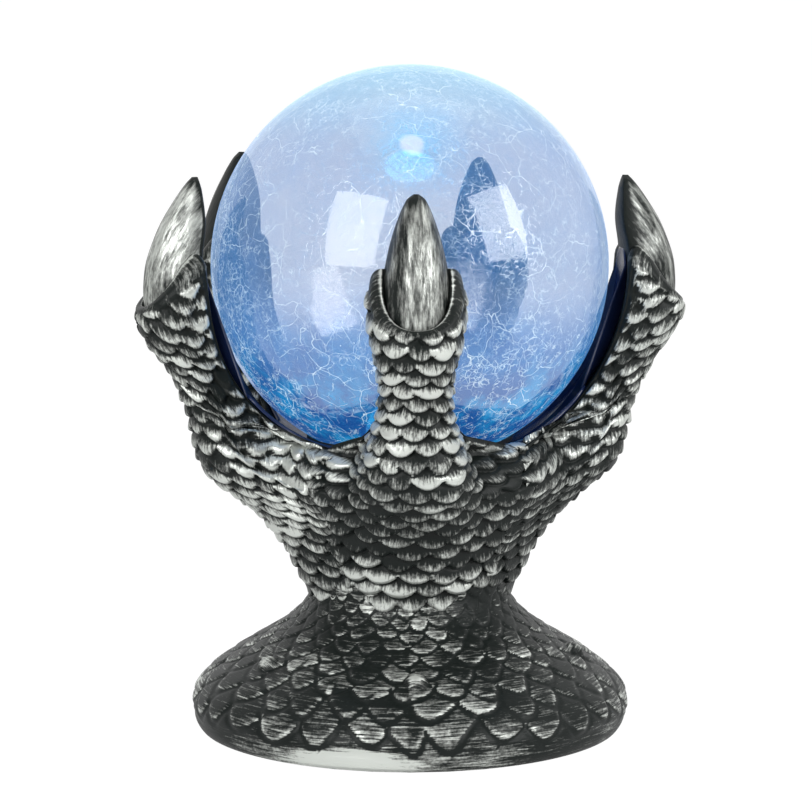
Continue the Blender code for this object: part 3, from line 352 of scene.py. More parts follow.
class GlobeSettings(PropertyGroup):
    """Sizes and light of the crackle globe."""

    wall: FloatProperty(name="Wall", description="Thickness of the glass", default=2.5 * MM, unit="LENGTH")
    crack_size: FloatProperty(
        name="Crack size", description="Distance between the main cracks", default=12 * MM, unit="LENGTH"
    )
    # Painted light: the next two colours are emitted by the glass itself, standing in for the lamp's light scattered
    # in it
    haze: FloatVectorProperty(
        name="Haze", description="Colour of the lit haze in the glass", default=(0.05, 0.20, 0.46), subtype="COLOR"
    )
    glow: FloatVectorProperty(
        name="Glow", description="Colour of the lamp's light low in the glass", default=(0.008, 0.075, 0.29),
        subtype="COLOR",
    )
    lamp: FloatVectorProperty(
        name="Lamp", description="Colour of the lamp lens when lit", default=(0.10, 0.48, 1.0), subtype="COLOR"
    )
    lamp_strength: FloatProperty(name="Lamp strength", description="Brightness of the lamp lens", default=9.0)


class FinishSettings(PropertyGroup):
    """Colours of the claw's paint and plastics."""

    silver: FloatVectorProperty(
        name="Silver", description="Brushed silver paint", default=(0.66, 0.69, 0.65), subtype="COLOR"
    )
    black: FloatVectorProperty(
        name="Black", description="Black plastic under the paint", default=(0.007, 0.010, 0.009), subtype="COLOR"
    )
    liner: FloatVectorProperty(
        name="Liner", description="Smooth plastic of the cup liner", default=(0.010, 0.019, 0.065), subtype="COLOR"
    )


class StageSettings(PropertyGroup):
    """Light of the studio."""

    left_power: FloatProperty(name="Left power", description="Power of the softbox at the left", default=13.0)
    right_power: FloatProperty(name="Right power", description="Power of the softbox at the right", default=13.5)
    top_power: FloatProperty(name="Top power", description="Power of the light above", default=3.0)
    surround: FloatProperty(name="Surround", description="Strength of the light from all round", default=0.2)
    front_shade: FloatProperty(
        name="Front shade", description="Brightness that mirrors see of the dark half behind the camera", default=0.15
    )


def flowing(stations, place):
    """A smooth curve through (place, value) stations: cubic pieces whose slopes are the mean of those beside them."""
    at, value = np.array(stations, float).T
    slope = np.gradient(value, at)
    place = np.clip(place, at[0], at[-1])
    i = np.clip(np.searchsorted(at, place) - 1, 0, len(at) - 2)
    step = at[i + 1] - at[i]
    t = (place - at[i]) / step
    start = (2 * t**3 - 3 * t**2 + 1) * value[i] + (t**3 - 2 * t**2 + t) * step * slope[i]
    return start + (3 * t**2 - 2 * t**3) * value[i + 1] + (t**3 - t**2) * step * slope[i + 1]


def curve_mm(stations, height):
    """A smooth curve whose stations are in millimetres, read at heights in metres."""
    return flowing(stations, height / MM) * MM


def ease(low, high, value):
    """0 below low, 1 above high, and a smooth step between them; falling from 1 where low is the larger."""
    t = np.clip((value - low) / (high - low), 0, 1)
    return t * t * (3 - 2 * t)


def smooth_max(a, b, width):
    """The larger of two values, with the corner where they meet rounded over the width."""
    near = np.maximum(width - np.abs(a - b), 0) / width
    return np.maximum(a, b) + near**2 * width / 4


def chance(row, column, seed):
    """A number from 0 to 1 for each cell of a lattice: the fraction of a large multiple of a sine."""
    return np.modf(np.abs(np.sin(row * 12.9898 + column * 78.233 + seed * 37.719)) * 43758.5453)[0]


def wander(a, b, seed):
    """A slow drift between -1 and 1: the mean of four sine waves that cross at odd angles."""
    waves = [np.sin(a * math.cos(k * 2.4 + seed) + b * math.sin(k * 2.4 + seed) + k * k + seed) for k in range(4)]
    return sum(waves) / 4


def hump(value, middle, half):
    """A bell curve: 1 at the middle, and down to 1/e at the given distance from it."""
    return np.exp(-(((value - middle) / half) ** 2))


def polar(radius, azimuth, height):
    """Points from their distance and angle round the axis and their height."""
    radius, azimuth, height = np.broadcast_arrays(radius, azimuth, height)
    return np.stack((radius * np.sin(azimuth), -radius * np.cos(azimuth), height), axis=-1)


def turn_from(degrees, azimuth):
    """The angle from a direction in degrees to an azimuth, within half a turn either way."""
    return (azimuth - math.radians(degrees) + np.pi) % (2 * np.pi) - np.pi


def pocket_radius(height):
    """Distance from the axis to the back of the liner: a ball below the globe's middle, a tube above it.

    From the bottom of the cup to the web it spreads a little, so that light shows between globe and liner.
    """
    drop = np.minimum(height - GLOBE_Z, 0)
    ball = np.sqrt(np.maximum(POCKET_RADIUS**2 - drop**2, POCKET_FLOOR**2))
    return ball + POCKET_SPREAD * ease(*SPREAD_Z, height)


def column_radius(height):
    """Outside radius of the claw between the fingers.

    A cosine power makes the skirt, a power curve the funnel of the palm, a quarter ellipse its rounded top, and
    above the web the skin lies on the liner.
    """
    skirt = np.clip((height - RIM_HEIGHT) / (WAIST_Z - RIM_HEIGHT), 0, 1)
    palm = np.clip((height - WAIST_Z) / (PALM_Z - WAIST_Z), 0, 1)
    roll = np.clip((height - PALM_Z) / (WEB_Z - PALM_Z), 0, 1)
    web = pocket_radius(np.float64(WEB_Z)) + WEB_EDGE
    low = WAIST_RADIUS + (FOOT_RADIUS - WAIST_RADIUS) * np.cos(skirt * np.pi / 2) ** SKIRT_POWER
    middle = WAIST_RADIUS + (PALM_RADIUS - WAIST_RADIUS) * palm**PALM_POWER
    top = web + (PALM_RADIUS - web) * np.sqrt(1 - roll**2)
    radius = np.where(height <= WAIST_Z, low, np.where(height <= PALM_Z, middle, top))
    thin = WEB_EDGE * (1 - WEB_THINNING * ease(WEB_Z, WEB_Z + WEB_FADE, height))
    return np.where(height > WEB_Z, pocket_radius(height) + thin, radius)


def lobe_radius(turn, height, halvings=22):
    """Distance from the axis to one finger's skin on a ray that leaves its middle by an angle.

    A level slice of a finger has straight sides and a superellipse end: x = reach - depth + depth times the
    n-th root of 1 - |y / half|^n. The ray runs inside it up to one crossing, which halving steps find.
    """
    reach = curve_mm(FINGER_REACH, height)
    half = curve_mm(FINGER_HALF, height)
    depth = curve_mm(FINGER_DEPTH, height)
    sine, cosine = np.abs(np.sin(turn)), np.cos(turn)
    low = np.zeros(np.broadcast(turn, height).shape)
    high = np.full(low.shape, FARTHEST_REACH)
    for _ in range(halvings):
        middle = (low + high) / 2
        side = middle * sine / half
        end = np.clip(1 - np.minimum(side, 1) ** FINGER_SQUARENESS, 0, 1) ** (1 / FINGER_SQUARENESS)
        inside = (side < 1) & (middle * cosine < reach - depth + depth * end) & (cosine > 0.2)
        low = np.where(inside, middle, low)
        high = np.where(inside, high, middle)
    return low


def claw_radius(azimuth, height):
    """Outside radius of the claw: the column and the five fingers, run together with rounded corners."""
    radius = column_radius(height)
    blend = EDGE_BLEND + FINGER_BLEND * ease(*BLEND_Z, height)
    for degrees in FINGERS.values():
        radius = smooth_max(radius, lobe_radius(turn_from(degrees, azimuth), height), blend)
    return radius


def scale_relief(across, along, seed, droop, point, rounding, length, jitter, dome):
    """Overlapping scales on a brick lattice of unit cells, free edges towards lower `along`.

    A scale's free edge is the curve y = droop * |x|^point. Behind it the height climbs a quarter circle over
    `rounding`, then sinks as 1 - (y / length)^1.8, and it falls to the sides with x^2. The highest of the
    scales over a point shows. Returns its height, its chance number, the place behind its edge, and how far off
    the next free edge above is.
    """
    height = np.full(across.shape, -1.0)
    gap = np.ones(across.shape)
    tone, behind = np.zeros(across.shape), np.zeros(across.shape)
    for row_step in (2, 1, 0, -1, -2):
        row = np.floor(along) + row_step
        offset = 0.5 * (row % 2)
        for column_step in (-1, 0, 1):
            column = np.round(across - offset) + column_step
            luck = [chance(row, column, seed + k) for k in range(4)]
            width = SCALE_WIDTH + WIDTH_CHANCE * (luck[1] - 0.5)
            x = 2 * (across - offset - column - jitter * (luck[0] - 0.5)) / width
            back = along - row - jitter * (luck[2] - 0.5) - droop * np.abs(x) ** point
            climb = np.clip(back / rounding, 0, 1)
            lift = np.sqrt(climb * (2 - climb)) * (1 - np.maximum(back / length, 0) ** SINK_POWER)
            lift = lift * (LEAST_HEIGHT + HEIGHT_CHANCE * luck[3]) - dome * x**2
            under = np.abs(x) < 1
            lift = np.where((back > 0) & under, lift, -1)
            gap = np.where((back < 0) & under, np.minimum(gap, -back), gap)
            higher = lift > height
            height = np.where(higher, lift, height)
            tone = np.where(higher, luck[1], tone)
            behind = np.where(higher, back, behind)
    return np.maximum(height, VALLEY_FLOOR), tone, behind, gap


def arc_lengths(points, axis):
    """Distance run along each line of a grid of points, from its first point."""
    steps = np.linalg.norm(np.diff(points, axis=axis), axis=-1)
    start = np.zeros_like(np.take(steps, [0], axis=axis))
    return np.cumsum(np.concatenate((start, steps), axis=axis), axis=axis)


def outward(points):
    """Unit normals of a grid whose columns run anticlockwise and whose rows run upwards."""
    normal = np.cross(np.gradient(points, axis=1), np.gradient(points, axis=0))
    return normal / np.maximum(np.linalg.norm(normal, axis=-1, keepdims=True), 1e-12)


def blurred(grid):
    """Each value's mean with its neighbours, round the columns and along the rows."""
    round_it = (np.roll(grid, 1, axis=1) + 2 * grid + np.roll(grid, -1, axis=1)) / 4
    padded = np.concatenate((round_it[:1], round_it, round_it[-1:]))
    return (padded[:-2] + 2 * padded[1:-1] + padded[2:]) / 4


def grid_mesh(name, points, wrap_rows=False, wrap_columns=True, caps=False, values=None, uv=None):
    """A mesh over a grid of points: quads between neighbours, closed where it wraps, a face over each open end.

    values maps attribute names to one number per point. uv has one pair per point, with one more column where
    the columns wrap.
    """
    rows, columns = points.shape[:2]
    index = np.arange(rows * columns).reshape(rows, columns)
    index = np.concatenate((index, index[:, :1]), axis=1) if wrap_columns else index
    index = np.concatenate((index, index[:1]), axis=0) if wrap_rows else index

    def corners(grid):
        """The four corners of every cell of a grid, anticlockwise from outside."""
        return np.stack((grid[:-1, :-1], grid[:-1, 1:], grid[1:, 1:], grid[1:, :-1]), axis=2)

    faces = corners(index).reshape(-1, 4).tolist()
    if caps:
        faces += [index[0, :columns][::-1].tolist(), index[-1, :columns].tolist()]
    mesh = bpy.data.meshes.new(name)
    mesh.from_pydata(points.reshape(-1, 3).tolist(), [], faces)
    for key, value in (values or {}).items():
        attribute = mesh.attributes.new(key, "FLOAT", "POINT")
        attribute.data.foreach_set("value", np.ascontiguousarray(value, np.float32).ravel())
    if uv is not None:
        uv = np.concatenate((uv, uv[:1]), axis=0) if wrap_rows else uv
        flat = corners(np.arange(uv.shape[0] * uv.shape[1]).reshape(uv.shape[:2])).ravel()
        loops = np.zeros((len(mesh.loops), 2), np.float32)
        loops[: len(flat)] = uv.reshape(-1, 2)[flat]
        mesh.uv_layers.new(name="skin").uv.foreach_set("vector", loops.ravel())
    mesh.polygons.foreach_set("use_smooth", np.ones(len(mesh.polygons), bool))
    mesh.validate()
    mesh.update()
    return mesh


def piece(name, mesh, materials, body, slot, *nodes):
    """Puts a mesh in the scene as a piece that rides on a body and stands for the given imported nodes."""
    obj = bpy.data.objects.new(name, mesh)
    bpy.context.scene.collection.objects.link(obj)
    for material in materials:
        mesh.materials.append(material)
    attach(obj, body)
    if nodes:
        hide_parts(*nodes)
    return obj


def put(tree, kind, inputs=None, **settings):
    """Adds a shader node with its settings, and gives its inputs values or links from other nodes' outputs."""
    node = tree.nodes.new("ShaderNode" + kind)
    for key, value in settings.items():
        setattr(node, key, value)
    for key, value in (inputs or {}).items():
        if isinstance(value, bpy.types.NodeSocket):
            tree.links.new(value, node.inputs[key])
        else:
            node.inputs[key].default_value = value
    return node


def sums(tree, operation, a, b):
    """One step of arithmetic between two values or outputs."""
    return put(tree, "Math", {0: a, 1: b}, operation=operation).outputs[0]


def shares(tree, *terms):
    """The sum of outputs that are each multiplied by a share."""
    total = None
    for value, share in terms:
        part = sums(tree, "MULTIPLY", value, share)
        total = part if total is None else sums(tree, "ADD", total, part)
    return total


def step_up(tree, value, low, high):
    """A smooth step from 0 to 1 as a value passes from low to high."""
    settings = {"interpolation_type": "SMOOTHSTEP", "clamp": True}
    return put(tree, "MapRange", {"Value": value, "From Min": low, "From Max": high}, **settings).outputs[0]


def tinted(tree, share, first, second):
    """A colour mixed from two colours or outputs by a share."""
    node = put(tree, "Mix", {"Factor": share}, data_type="RGBA")
    for key, value in ((6, first), (7, second)):
        if isinstance(value, bpy.types.NodeSocket):
            tree.links.new(value, node.inputs[key])
        else:
            node.inputs[key].default_value = (*value[:3], 1)
    return node.outputs[2]


def grain(tree, coordinates, stretch, detail=3.0, roughness=0.6):
    """Noise on stretched coordinates, as a value about one half. One number stretches all three alike."""
    stretch = (stretch,) * 3 if np.isscalar(stretch) else stretch
    mapped = put(tree, "Mapping", {"Vector": coordinates, "Scale": stretch})
    settings = {"Vector": mapped.outputs[0], "Scale": 1.0, "Detail": detail, "Roughness": roughness}
    return put(tree, "TexNoise", settings).outputs["Fac"]


def new_material(name):
    """An empty material, its node tree, and the input of its output node."""
    material = bpy.data.materials.new(name)
    material.use_nodes = True
    tree = material.node_tree
    tree.nodes.clear()
    return material, tree, tree.nodes.new("ShaderNodeOutputMaterial").inputs[0]


def brushed_paint(name, colours, streaks, cover, worn, metallic, streaky, film_share=0.25, specks=0.5, soft=1.0):
    """Black plastic with silver dragged over its high places.

    The paint takes where the skin's lift, a streaky noise that runs with the brush, slow patches, fine specks and
    each scale's chance number together pass the cover: first a thin dull film, then bright silver. Finer streaks
    score it.
    """
    material, tree, surface = new_material(name)
    lift = put(tree, "Attribute", attribute_name="lift").outputs["Fac"]
    tone = put(tree, "Attribute", attribute_name="tone").outputs["Fac"]
    skin = put(tree, "UVMap", uv_map="skin").outputs[0]
    place = put(tree, "TexCoord").outputs["Object"]
    streak = grain(tree, skin, (*streaks, 1), 4, 0.68)
    score = grain(tree, skin, (*(SCORE_FINENESS * s for s in streaks), 1), 2, 0.6)
    patch = grain(tree, place, PATCH_GRAIN, 3, 0.55)
    speck = grain(tree, place, SPECK_GRAIN, 3, 0.6)
    total = lift
    for value, share in ((streak, streaky), (patch, worn * 2), (tone, 0.3), (speck, specks), (score, streaky * 0.5)):
        total = sums(tree, "ADD", total, sums(tree, "MULTIPLY", sums(tree, "SUBTRACT", value, 0.5), share))
    film = step_up(tree, total, *(cover + soft * edge for edge in FILM_BAND))
    bright = step_up(tree, total, *(cover + soft * edge for edge in BRIGHT_BAND))
    dull = tuple(c * film_share for c in colours.silver)
    base = tinted(tree, bright, tinted(tree, film, colours.black, dull), colours.silver)
    metal = sums(tree, "MULTIPLY", sums(tree, "ADD", film, bright), metallic / 2)
    rough = sums(tree, "ADD", shares(tree, (streak, 0.25), (bright, -0.1)), 0.29)
    relief = shares(tree, (streak, 1.0), (score, 1.0), (bright, 0.6))
    bump = put(tree, "Bump", {"Strength": 0.4, "Distance": 0.3 * MM, "Height": relief})
    shader = put(tree, "BsdfPrincipled", {
        "Base Color": base, "Metallic": metal, "Roughness": rough, "Normal": bump.outputs[0],
        "Specular IOR Level": 0.2,
    })
    tree.links.new(shader.outputs[0], surface)
    return material


def plain_finish(name, colour, roughness, metallic=0.0, grain_size=0.6 * MM, mottle=0.12, bump=0.1):
    """A moulded or plated surface: its colour drifts a little, and a fine grain breaks up its gloss."""
    material, tree, surface = new_material(name)
    place = put(tree, "TexCoord").outputs["Object"]
    fine = grain(tree, place, 1 / grain_size, 3, 0.6)
    slow = grain(tree, place, 0.06 / grain_size, 2, 0.5)
    darker = tuple(c * (1 - mottle) for c in colour)
    lighter = tuple(min(1, c * (1 + mottle)) for c in colour)
    rough = sums(tree, "ADD", sums(tree, "MULTIPLY", fine, 0.2), max(0.02, roughness - 0.1))
    relief = put(tree, "Bump", {"Strength": bump, "Distance": 0.1 * MM, "Height": fine})
    shader = put(tree, "BsdfPrincipled", {
        "Base Color": tinted(tree, slow, darker, lighter), "Metallic": metallic, "Roughness": rough,
        "Normal": relief.outputs[0],
    })
    tree.links.new(shader.outputs[0], surface)
    return material


def crack_lines(tree, place, size, width, turn):
    """Thin curved lines along the borders of turned Voronoi cells that two sizes of noise have bent."""
    bent = place
    for share, reach in CRACK_BENDS:
        shift = put(tree, "TexNoise", {"Vector": place, "Scale": share / size, "Detail": 2.0})
        moved = put(tree, "VectorMath", {0: shift.outputs["Color"], 1: (size * reach,) * 3}, operation="MULTIPLY")
        bent = put(tree, "VectorMath", {0: bent, 1: moved.outputs[0]}, operation="ADD").outputs[0]
    turned = put(tree, "Mapping", {"Vector": bent, "Rotation": (turn, turn * 2, turn * 3)})
    cells = put(tree, "TexVoronoi", {"Vector": turned.outputs[0], "Scale": 1 / size}, feature="DISTANCE_TO_EDGE")
    return sums(tree, "SUBTRACT", 1.0, step_up(tree, cells.outputs["Distance"], 0.0, width / size))


def partly_clear(tree, surface, cover, glass, clear_colour):
    """Lets a share of a glass surface cover what is behind it, and leaves the rest clear."""
    clear = put(tree, "BsdfTransparent", {"Color": (*clear_colour, 1)})
    mixed = put(tree, "MixShader", {0: cover, 1: clear.outputs[0], 2: glass.outputs[0]})
    tree.links.new(mixed.outputs[0], surface)


def crackle_glass(name, settings):
    """Crackle glass lit from below.

    A clear wall carries painted light as emission: an even blue glow, a deeper pool of it near the lamp, cyan at the
    crown, a halo where the beam meets the back of the crown with a painted highlight of the lamp in it, and three
    sizes of crack lines painted bright as glints in broken dashes. More of the surface covers what is behind it at the
    rim.
    """
    material, tree, surface = new_material(name)
    place = put(tree, "TexCoord").outputs["Object"]
    height = put(tree, "SeparateXYZ", {0: place}).outputs["Z"]
    level = put(tree, "MapRange", {
        "Value": height, "From Min": GLOBE_Z - GLOBE_RADIUS, "From Max": GLOBE_Z + GLOBE_RADIUS,
    }).outputs[0]
    slow = grain(tree, place, CLOUD_GRAIN, 3, 0.6)
    broken = grain(tree, place, BREAK_GRAIN, 4, 0.65)
    dash = grain(tree, place, DASH_GRAIN, 2, 0.6)
    spark = grain(tree, place, SPARK_GRAIN, 2, 0.6)
    main, finer, finest = (
        crack_lines(tree, place, settings.crack_size * share, width, turn) for share, width, turn in CRACK_LAYERS
    )
    main = sums(tree, "MULTIPLY", main, step_up(tree, broken, 0.40, 0.56))
    finer = sums(tree, "MULTIPLY", finer, step_up(tree, dash, 0.42, 0.57))
    finest = sums(tree, "MULTIPLY", finest, step_up(tree, sums(tree, "MULTIPLY", dash, slow), 0.245, 0.335))
    # Crack lines with fine sparks; below they are painted bright with emission, as glints of the lamp's light in the
    # cracks
    lines = sums(tree, "MAXIMUM", main, step_up(tree, spark, 0.72, 0.8))
    for layer in (finer, finest):
        lines = sums(tree, "MAXIMUM", lines, sums(tree, "MULTIPLY", layer, 0.7))
    # Painted light: where the glow falls, low by the lamp with a deeper pool of it, at the crown, in a halo round the
    # beam's spot, and a painted highlight of the lamp at that spot
    low = sums(tree, "SUBTRACT", 1.0, step_up(tree, level, *LOW_LEVEL))
    lamp_pool = sums(tree, "MULTIPLY", low, step_up(tree, broken, 0.42, 0.66))
    crown = step_up(tree, level, *CROWN_LEVEL)
    rim = put(tree, "LayerWeight", {"Blend": 0.2}).outputs["Facing"]
    distance = put(tree, "VectorMath", {0: place, 1: BEAM_SPOT}, operation="DISTANCE").outputs["Value"]
    halo = step_up(tree, distance, *HALO_FADE)
    lamp_glint = step_up(tree, sums(tree, "ADD", distance, sums(tree, "MULTIPLY", broken, LAMP_GLINT_RAGGED)), *LAMP_GLINT_FADE)
    haze = tinted(tree, slow, tuple(0.7 * c for c in settings.haze), tuple(1.3 * c for c in settings.haze))
    # Painted light: each glow colour is mixed into the emission colour where it falls
    for place_share, strength, colour in (
        (low, 1.0, settings.glow), (lamp_pool, 0.8, LAMP_POOL_COLOUR), (crown, 0.6, CROWN_GLOW_COLOUR), (lines, 0.75, CRACK_GLINT_COLOUR),
        (halo, 0.7, HALO_COLOUR), (lamp_glint, 1.0, WHITE),
    ):
        haze = tinted(tree, sums(tree, "MULTIPLY", place_share, strength), haze, colour)
    # More of the surface covers what is behind it where it glows and at the rim, so the painted glow also shows more
    # there
    cover = shares(tree, (slow, 0.3), (low, 0.8), (lines, 0.4), (rim, 0.45), (halo, 0.25), (lamp_glint, 1.0))
    cover = sums(tree, "MINIMUM", sums(tree, "ADD", cover, 0.12), 0.97)
    bump = put(tree, "Bump", {"Strength": 0.15, "Distance": 0.4 * MM, "Height": sums(tree, "ADD", lines, slow)})
    glass = put(tree, "BsdfPrincipled", {
        "Base Color": tinted(tree, 0.6, haze, (0, 0, 0)), "Roughness": 0.05, "IOR": 2.4,
        "Emission Color": haze, "Emission Strength": 0.85, "Normal": bump.outputs[0],
    })
    partly_clear(tree, surface, cover, glass, (0.98, 0.98, 0.98))
    return material


def inner_glass(name):
    """The inside face of the globe's wall: clear, with a faint ripple in its gloss."""
    material, tree, surface = new_material(name)
    place = put(tree, "TexCoord").outputs["Object"]
    ripple = grain(tree, place, BREAK_GRAIN, 2, 0.5)
    rim = put(tree, "LayerWeight", {"Blend": 0.15}).outputs["Facing"]
    bump = put(tree, "Bump", {"Strength": 0.15, "Distance": 0.5 * MM, "Height": ripple})
    tint = tinted(tree, ripple, (0.45, 0.55, 0.85), (0.6, 0.7, 0.95))
    glass = put(tree, "BsdfPrincipled", {
        "Base Color": tint, "Roughness": 0.05, "IOR": 2.2, "Normal": bump.outputs[0],
    })
    partly_clear(tree, surface, shares(tree, (rim, 0.3), (ripple, 0.12)), glass, (0.99, 0.99, 1))
    return material


def lit_plastic(name, colour, strength):
    """A frosted part that glows, with soft clouds in its light."""
    material, tree, surface = new_material(name)
    place = put(tree, "TexCoord").outputs["Object"]
    cloud = grain(tree, place, LENS_GRAIN, 3, 0.6)
    glow = tinted(tree, cloud, tuple(c * 0.7 for c in colour), tuple(min(1, c * 1.2) for c in colour))
    shader = put(tree, "BsdfPrincipled", {
        "Base Color": glow, "Roughness": 0.35, "Emission Color": glow, "Emission Strength": strength,
    })
    tree.links.new(shader.outputs[0], surface)
    return material


def seen_light(tree, path, mirrored):
    """1 for rays straight from the camera or through glass, and the given share for rays from a mirror."""
    direct = sums(tree, "MAXIMUM", path["Is Camera Ray"], path["Is Transmission Ray"])
    return sums(tree, "MAXIMUM", direct, sums(tree, "MULTIPLY", path["Is Glossy Ray"], mirrored))


def floor_finish():
    """A pale floor that shows as white and keeps a soft shadow, and is not there from below or under the base."""
    material, tree, surface = new_material("pale_floor")
    path = put(tree, "LightPath").outputs
    seen = seen_light(tree, path, 0.4)
    matt = put(tree, "BsdfDiffuse", {"Color": (0.9, 0.9, 0.9, 1)})
    white = put(tree, "Emission", {"Color": (1, 1, 1, 1), "Strength": 1.1})
    mixed = put(tree, "MixShader", {0: sums(tree, "MULTIPLY", seen, 0.9), 1: matt.outputs[0], 2: white.outputs[0]})
    close = sums(tree, "LESS_THAN", path["Ray Length"], FLOOR_CLOSE)
    clear = sums(tree, "MAXIMUM", close, put(tree, "NewGeometry").outputs["Backfacing"])
    through = put(tree, "BsdfTransparent")
    whole = put(tree, "MixShader", {0: clear, 1: mixed.outputs[0], 2: through.outputs[0]})
    tree.links.new(whole.outputs[0], surface)
    return material


def studio_world(scene, settings):
    """White surroundings to look at, a darker half behind the camera in mirrors, and an even soft light."""
    world = bpy.data.worlds.new("studio")
    scene.world = world
    world.use_nodes = True
    tree = world.node_tree
    tree.nodes.clear()
    output = tree.nodes.new("ShaderNodeOutputWorld")
    path = put(tree, "LightPath").outputs
    way = put(tree, "SeparateXYZ", {0: put(tree, "TexCoord").outputs["Generated"]}).outputs["Y"]
    mirrored = put(tree, "MapRange", {
        "Value": way, "From Min": -0.3, "From Max": 0.5, "To Min": settings.front_shade, "To Max": 1.0,
    }).outputs[0]
    seen = seen_light(tree, path, mirrored)
    strength = sums(tree, "MAXIMUM", seen, sums(tree, "MULTIPLY", path["Is Diffuse Ray"], settings.surround))
    lamp = put(tree, "Background", {"Color": (1, 1, 1, 1), "Strength": strength})
    tree.links.new(lamp.outputs[0], output.inputs[0])


def softbox(name, place, size, power):
    """A rectangular lamp that faces the object."""
    lamp = bpy.data.lights.new(name, "AREA")
    lamp.shape = "RECTANGLE"
    lamp.size, lamp.size_y = size
    lamp.energy = power
    obj = bpy.data.objects.new(name, lamp)
    bpy.context.scene.collection.objects.link(obj)
    obj.location = place
    way = np.subtract(LAMP_AIM, place)
    flat = math.hypot(way[0], way[1])
    obj.rotation_euler = (math.atan2(flat, -way[2]), 0, math.atan2(-way[0], way[1]))


def valley_spans():
    """For each finger, the angles from its middle to the middles of the valleys before and after it."""
    turns = np.radians(list(FINGERS.values()))
    after = ((np.roll(turns, -1) - turns) % (2 * np.pi)) / 2
    return dict(zip(FINGERS, zip(np.roll(after, 1), after)))


def edge_turn(height, valley):
    """How far round a finger its skin runs at a height: past the valley's middle, or to the finger's own edge.

    Above the web the edge leaves the valley along a parabola and runs into the finger's side.
    """
    side = np.arcsin(np.clip(curve_mm(FINGER_EDGE, height) / pocket_radius(height), 0, 1))
    climb = np.sqrt(np.clip((height - WEB_Z) / WEB_RISE, 0, 1))
    return (valley + VALLEY_OVERLAP) * (1 - climb) + np.minimum(side, valley) * climb


def row_heights(level, azimuth, turn, slant):
    """Heights along a row of scales that starts at a level on the finger's back.

    The row tilts with its distance in from the back. Rows sag towards the front of the palm and climb at the collar.
    """
    inwards = curve_mm(FINGER_REACH, level) - claw_radius(azimuth + turn, level) * np.cos(turn)
    return level + flowing(slant, level / MM) * inwards


def row_edge(level, azimuth, valley, way, slant, samples=140):
    """For each row, the angle at which it meets its edge: the first place where the row is past the edge there."""
    turn = np.linspace(0, valley + VALLEY_OVERLAP, samples)[None, :]
    height = row_heights(level[:, None], azimuth, way * turn, slant)
    room = edge_turn(height, valley) - turn
    room[:, -1] = np.minimum(room[:, -1], -1e-9)
    last = np.argmax(room < 0, axis=1)[:, None]
    before = np.take_along_axis(room, np.maximum(last - 1, 0), axis=1)
    after = np.take_along_axis(room, last, axis=1)
    share = before / np.maximum(before - after, 1e-9)
    return ((last - 1 + np.clip(share, 0, 1)) * turn[0, 1])[:, 0]


def finger_skin(azimuth, spans, slant, rows, columns, samples=600, crowding=1.3):
    """The bare skin of one finger and its share of the palm, as a grid of points with rows from waist to collar.

    Rows are spaced evenly along the finger's back. Along a row the angle runs from edge to edge, with the points
    crowded a little towards the edges, where the sides turn in. Returns the points, the angles and the edges.
    """
    back = np.linspace(SKIN_BOTTOM, COLLAR_Z, samples)
    run = arc_lengths(np.stack((curve_mm(FINGER_REACH, back), back), axis=-1), 0)
    level = np.interp(np.linspace(0, run[-1], rows), run, back)
    left = row_edge(level, azimuth, spans[0], -1, slant)
    right = row_edge(level, azimuth, spans[1], 1, slant)
    share = np.linspace(-1, 1, columns)
    spread = np.sign(share) * (1 - (1 - np.abs(share)) ** crowding)
    turn = np.where(spread < 0, left[:, None], right[:, None]) * spread
    height = row_heights(level[:, None], azimuth, turn, slant)
    radius = claw_radius(azimuth + turn, height)
    return polar(radius, azimuth + turn, height), turn, np.stack((left, right), axis=1)


def finger_lattice(name, across, along, height, settings, seed):
    """Places of a finger's skin on the lattice of its scales, and how far each row has grown to the palm's size.

    Columns count distance round the skin in scale widths, and rows distance along it in pitches: below the knuckle
    mostly along the finger's back, above it mostly along each column itself. Both wander a little.
    """
    middle = across.shape[1] // 2
    spine = np.s_[:, middle : middle + 1]
    grown = ease(*PALM_GROWTH_Z, height[spine])
    width = settings.finger_scale + (settings.palm_scale - settings.finger_scale) * grown
    pitch = width * (FINGER_PITCH + (PALM_PITCH - FINGER_PITCH) * grown)
    below, above = FRONT_FREEDOM if name == "front" else ROW_FREEDOM
    freedom = below + (above - below) * ease(*KNUCKLE_Z, height[spine])
    shared = np.diff(along[spine], axis=0, prepend=0.0)
    rise = (shared * (1 - freedom) + np.diff(along, axis=0, prepend=0.0) * freedom) / pitch

    def drift(runs, number):
        """A slow drift over the skin with the given lengths round and along it."""
        return wander(across / runs[0], along / runs[1], number)

    columns = across / width + COLUMN_DRIFT * drift(COLUMN_DRIFT_RUN, seed)
    rows = np.cumsum(rise, axis=0) + ROW_DRIFT * drift(ROW_DRIFT_RUN, seed + 2)
    return columns, rows, grown


def finger_lift(name, points, scales, bead):
    """How readily a finger takes silver: as its scales and its bead stand up, with barer and richer places, the
    richest a painted highlight.
    """
    x, y, z = np.moveaxis(points, -1, 0)
    lift = scales * (1 - bead) + BEAD_LIFT * bead
    lift = lift - BARE_PALM * ease(*BARE_PALM_Z, z) * ease(*BARE_PALM_X, x)
    # Painted highlight: more silver on the upper left of the palm, where it faces the light
    lift = lift + PALM_HIGHLIGHT * hump(np.hypot(x - PALM_HIGHLIGHT_X, z - PALM_HIGHLIGHT_Z), 0, PALM_HIGHLIGHT_REACH)
    lift = lift + RICH_NECK * ease(*RICH_NECK_Z, z) * ease(*RICH_NECK_Y, y)
    return lift - BARE_LEFT * ease(*BARE_LEFT_Z, z) if name == "left" else lift


